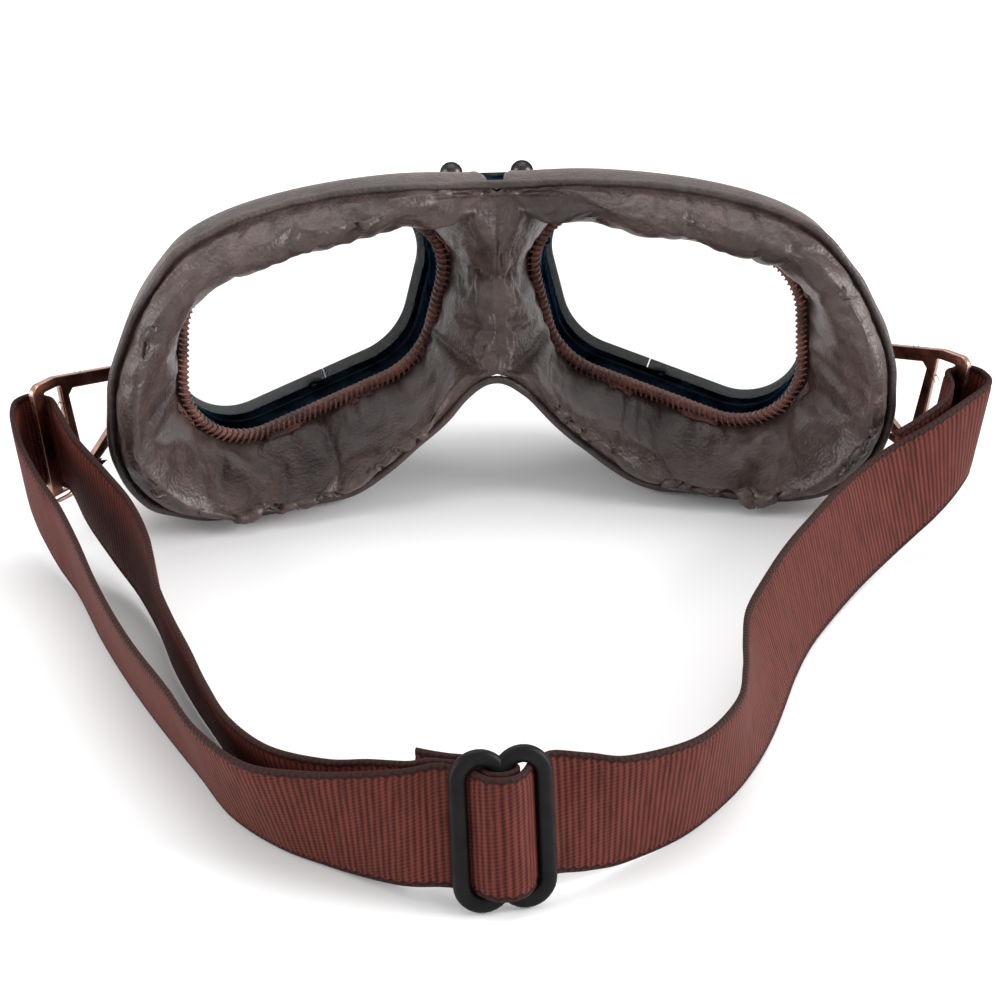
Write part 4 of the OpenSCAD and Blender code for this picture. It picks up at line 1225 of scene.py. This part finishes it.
# ---- Slider ----
# A three-bar adjuster bent from steel rod: its ends curl in over the centre bar in two lobes,
# with a notch between. It is dipped in matt black enamel.
SLIDER_W, SLIDER_H, ROD, ROD_T = 20.0, 32.0, 3.4, 2.4
enamel, tree, shader = new_material("matt black enamel", Specular_IOR_Level=0.15)
place = add(tree, "ShaderNodeTexCoord").outputs["Object"]
orange_peel = add(tree, "ShaderNodeTexNoise", {"Vector": place, "Scale": 1 / (1.1 * MM),
                                               "Detail": 3})
rubs = add(tree, "ShaderNodeTexNoise", {"Vector": place, "Scale": 1 / (4 * MM), "Detail": 5,
                                        "Roughness": 0.7})
share = add(tree, "ShaderNodeMapRange", {"Value": rubs.outputs["Fac"], "From Min": 0.4,
                                         "From Max": 0.72})
colour = add(tree, "ShaderNodeMix", {0: share.outputs[0], 6: rgb("#070607"),
                                     7: rgb("#121113")}, data_type="RGBA")
rough = add(tree, "ShaderNodeMapRange", {"Value": rubs.outputs["Fac"], "To Min": 0.55,
                                         "To Max": 0.34})
bump = add(tree, "ShaderNodeBump", {"Height": orange_peel.outputs["Fac"], "Strength": 0.12,
                                    "Distance": 0.12 * MM})
dress(tree, shader, colour, rough, bump)


def on_slider(x, y, z):
    """A point of the slider, drawn flat and stood on the strap."""
    p = Matrix.Rotation(SLIDER_TURN, 3, "Z") @ (
        Matrix.Rotation(SLIDER_LEAN, 3, "X") @ Vector((x, y, z)))
    return placed((SLIDER[0] + p.x, SLIDER[1] + p.y, 0.1 + p.z))


def flat(share):
    """Squares a round section a little, as a pressed rod is."""
    return math.copysign(abs(share) ** 0.75, share)


half_gap = SLIDER_W / 2 - ROD / 2
lobe, low, high = half_gap / 2, ROD / 2, SLIDER_H - ROD / 2
bm = bmesh.new()
for s in (-1, 1):
    path = [(s * lobe * (1 - math.cos(t)), high - lobe + lobe * math.sin(t))
            for t in (math.pi * k / 16 for k in range(17))]
    path += [(x, SLIDER_H - z) for x, z in reversed(path)]
    rings = []
    for k, (x, z) in enumerate(path):
        before, after = path[max(k - 1, 0)], path[min(k + 1, len(path) - 1)]
        e = Vector((after[0] - before[0], after[1] - before[1])).normalized()
        rings.append([on_slider(x + flat(math.cos(t)) * ROD / 2 * -e.y,
                                flat(math.sin(t)) * ROD_T / 2,
                                z + flat(math.cos(t)) * ROD / 2 * e.x)
                      for t in (2 * math.pi * h / 16 for h in range(16))])
    loft(bm, rings, False, caps=True)
rings = []
for z, r in ((low + lobe - 1.25, 0.35), (low + lobe - 0.9, 0.95), (low + lobe, 1.3),
             (low + lobe + 1.2, 1.0), (high - lobe - 1.2, 1.0), (high - lobe, 1.3),
             (high - lobe + 0.9, 0.95), (high - lobe + 1.25, 0.35)):
    rings.append([on_slider(r * math.cos(t), r * math.sin(t), z)
                  for t in (2 * math.pi * h / 16 for h in range(16))])
loft(bm, rings, False, caps=True)
slider = new_piece("three_bar_slider", outward(bm), enamel, sharp=50)
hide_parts("strap_slider")
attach(slider, "slider")

# ---- Sewn ends of the strap ----
# Each end of the webbing is folded back and sewn down with rows of doubled brown thread.
seam_thread = waxed_thread("bonded seam thread", "#2a100e", "#5f2f28")


def seam_row(bm, near, stitches, off, shift):
    """A row of stitches across the strap at the station nearest to a point."""
    j = min(range(len(stations)), key=lambda k: (Vector(stations[k][1][:3])
                                                 - Vector(near)).length) + shift
    for k in range(stitches):
        a0 = 1.6 + (STRAP_W - 3.2) * k / stitches
        length = (STRAP_W - 3.2) / stitches * 0.72
        path = [on_strap(j, a0 + length * h / 4,
                         off * (STRAP_T / 2 + (0.02 if h in (0, 4) else 0.22)))
                for h in range(5)]
        thread_run(bm, path, 0.26 * MM, sides=6)


for name, node, near, rows, off, ends in (
        ("right_end_seam", "strap_end_stitching", right_tail[0][:3], (4, 8), 1,
         ("right_frame", "right_bracket", level(-90, NEAR_START), level(-90, NEAR_END))),
        ("slider_end_seam", "slider_end_stitching", by_slider(10.6, -8.8)[:3], (0, 4), 1,
         ("mask", "slider", level(56, SLIDER[1]), level(27, SLIDER[1])))):
    bm = bmesh.new()
    for shift in rows:
        for face in (-1, 1):
            seam_row(bm, near, 9, face, shift)
    seam = new_piece(name, outward(bm), seam_thread, sharp=60)
    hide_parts(node)
    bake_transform(seam)

# ---- Floor, lights and camera ----
# A plain white sweep, broad soft lights at both sides and above, and a long lens.
floor_paint, tree, shader = new_material("matt white floor", Roughness=0.9,
                                         Specular_IOR_Level=0.1)
dust = add(tree, "ShaderNodeTexNoise", {
    "Vector": add(tree, "ShaderNodeTexCoord").outputs["Object"], "Scale": 3.0})
colour = add(tree, "ShaderNodeMix", {0: dust.outputs["Fac"], 6: rgb("#f2f2f2"),
                                     7: rgb("#f6f6f6")}, data_type="RGBA")
tree.links.new(colour.outputs[2], shader.inputs["Base Color"])
bm = bmesh.new()
bmesh.ops.create_grid(bm, x_segments=1, y_segments=1, size=6)
floor = new_piece("floor", bm, floor_paint)

world = bpy.data.worlds.new("studio")
bpy.context.scene.world = world
world.use_nodes = True
world.node_tree.nodes["Background"].inputs[0].default_value = (1, 1, 1, 1)
world.node_tree.nodes["Background"].inputs[1].default_value = 0.85


def softbox(name, at, size, watts):
    """A square soft light that faces the middle of the object."""
    lamp = bpy.data.lights.new(name, "AREA")
    lamp.shape, lamp.size, lamp.energy = "SQUARE", size, watts
    obj = bpy.data.objects.new(name, lamp)
    bpy.context.collection.objects.link(obj)
    obj.location = at
    obj.rotation_euler = (Vector((0, 0, 0.03)) - Vector(at)).to_track_quat("-Z", "Y").to_euler()


softbox("left light", (1.5, 0.35, 0.55), 1.0, 17)
softbox("right light", (-1.5, 0.45, 0.6), 1.0, 32)
softbox("top light", (0, -0.5, 1.6), 1.4, 12)

lens_data = bpy.data.cameras.new("camera")
lens_data.lens = 133.6
camera = bpy.data.objects.new("camera", lens_data)
bpy.context.collection.objects.link(camera)
camera.location = (0.0605, 0.7040, 0.3623)
camera.rotation_euler = Vector((0.0711, 0.9035, 0.4226)).to_track_quat("Z", "Y").to_euler()
bpy.context.scene.camera = camera
bpy.context.scene.view_settings.view_transform = "Standard"
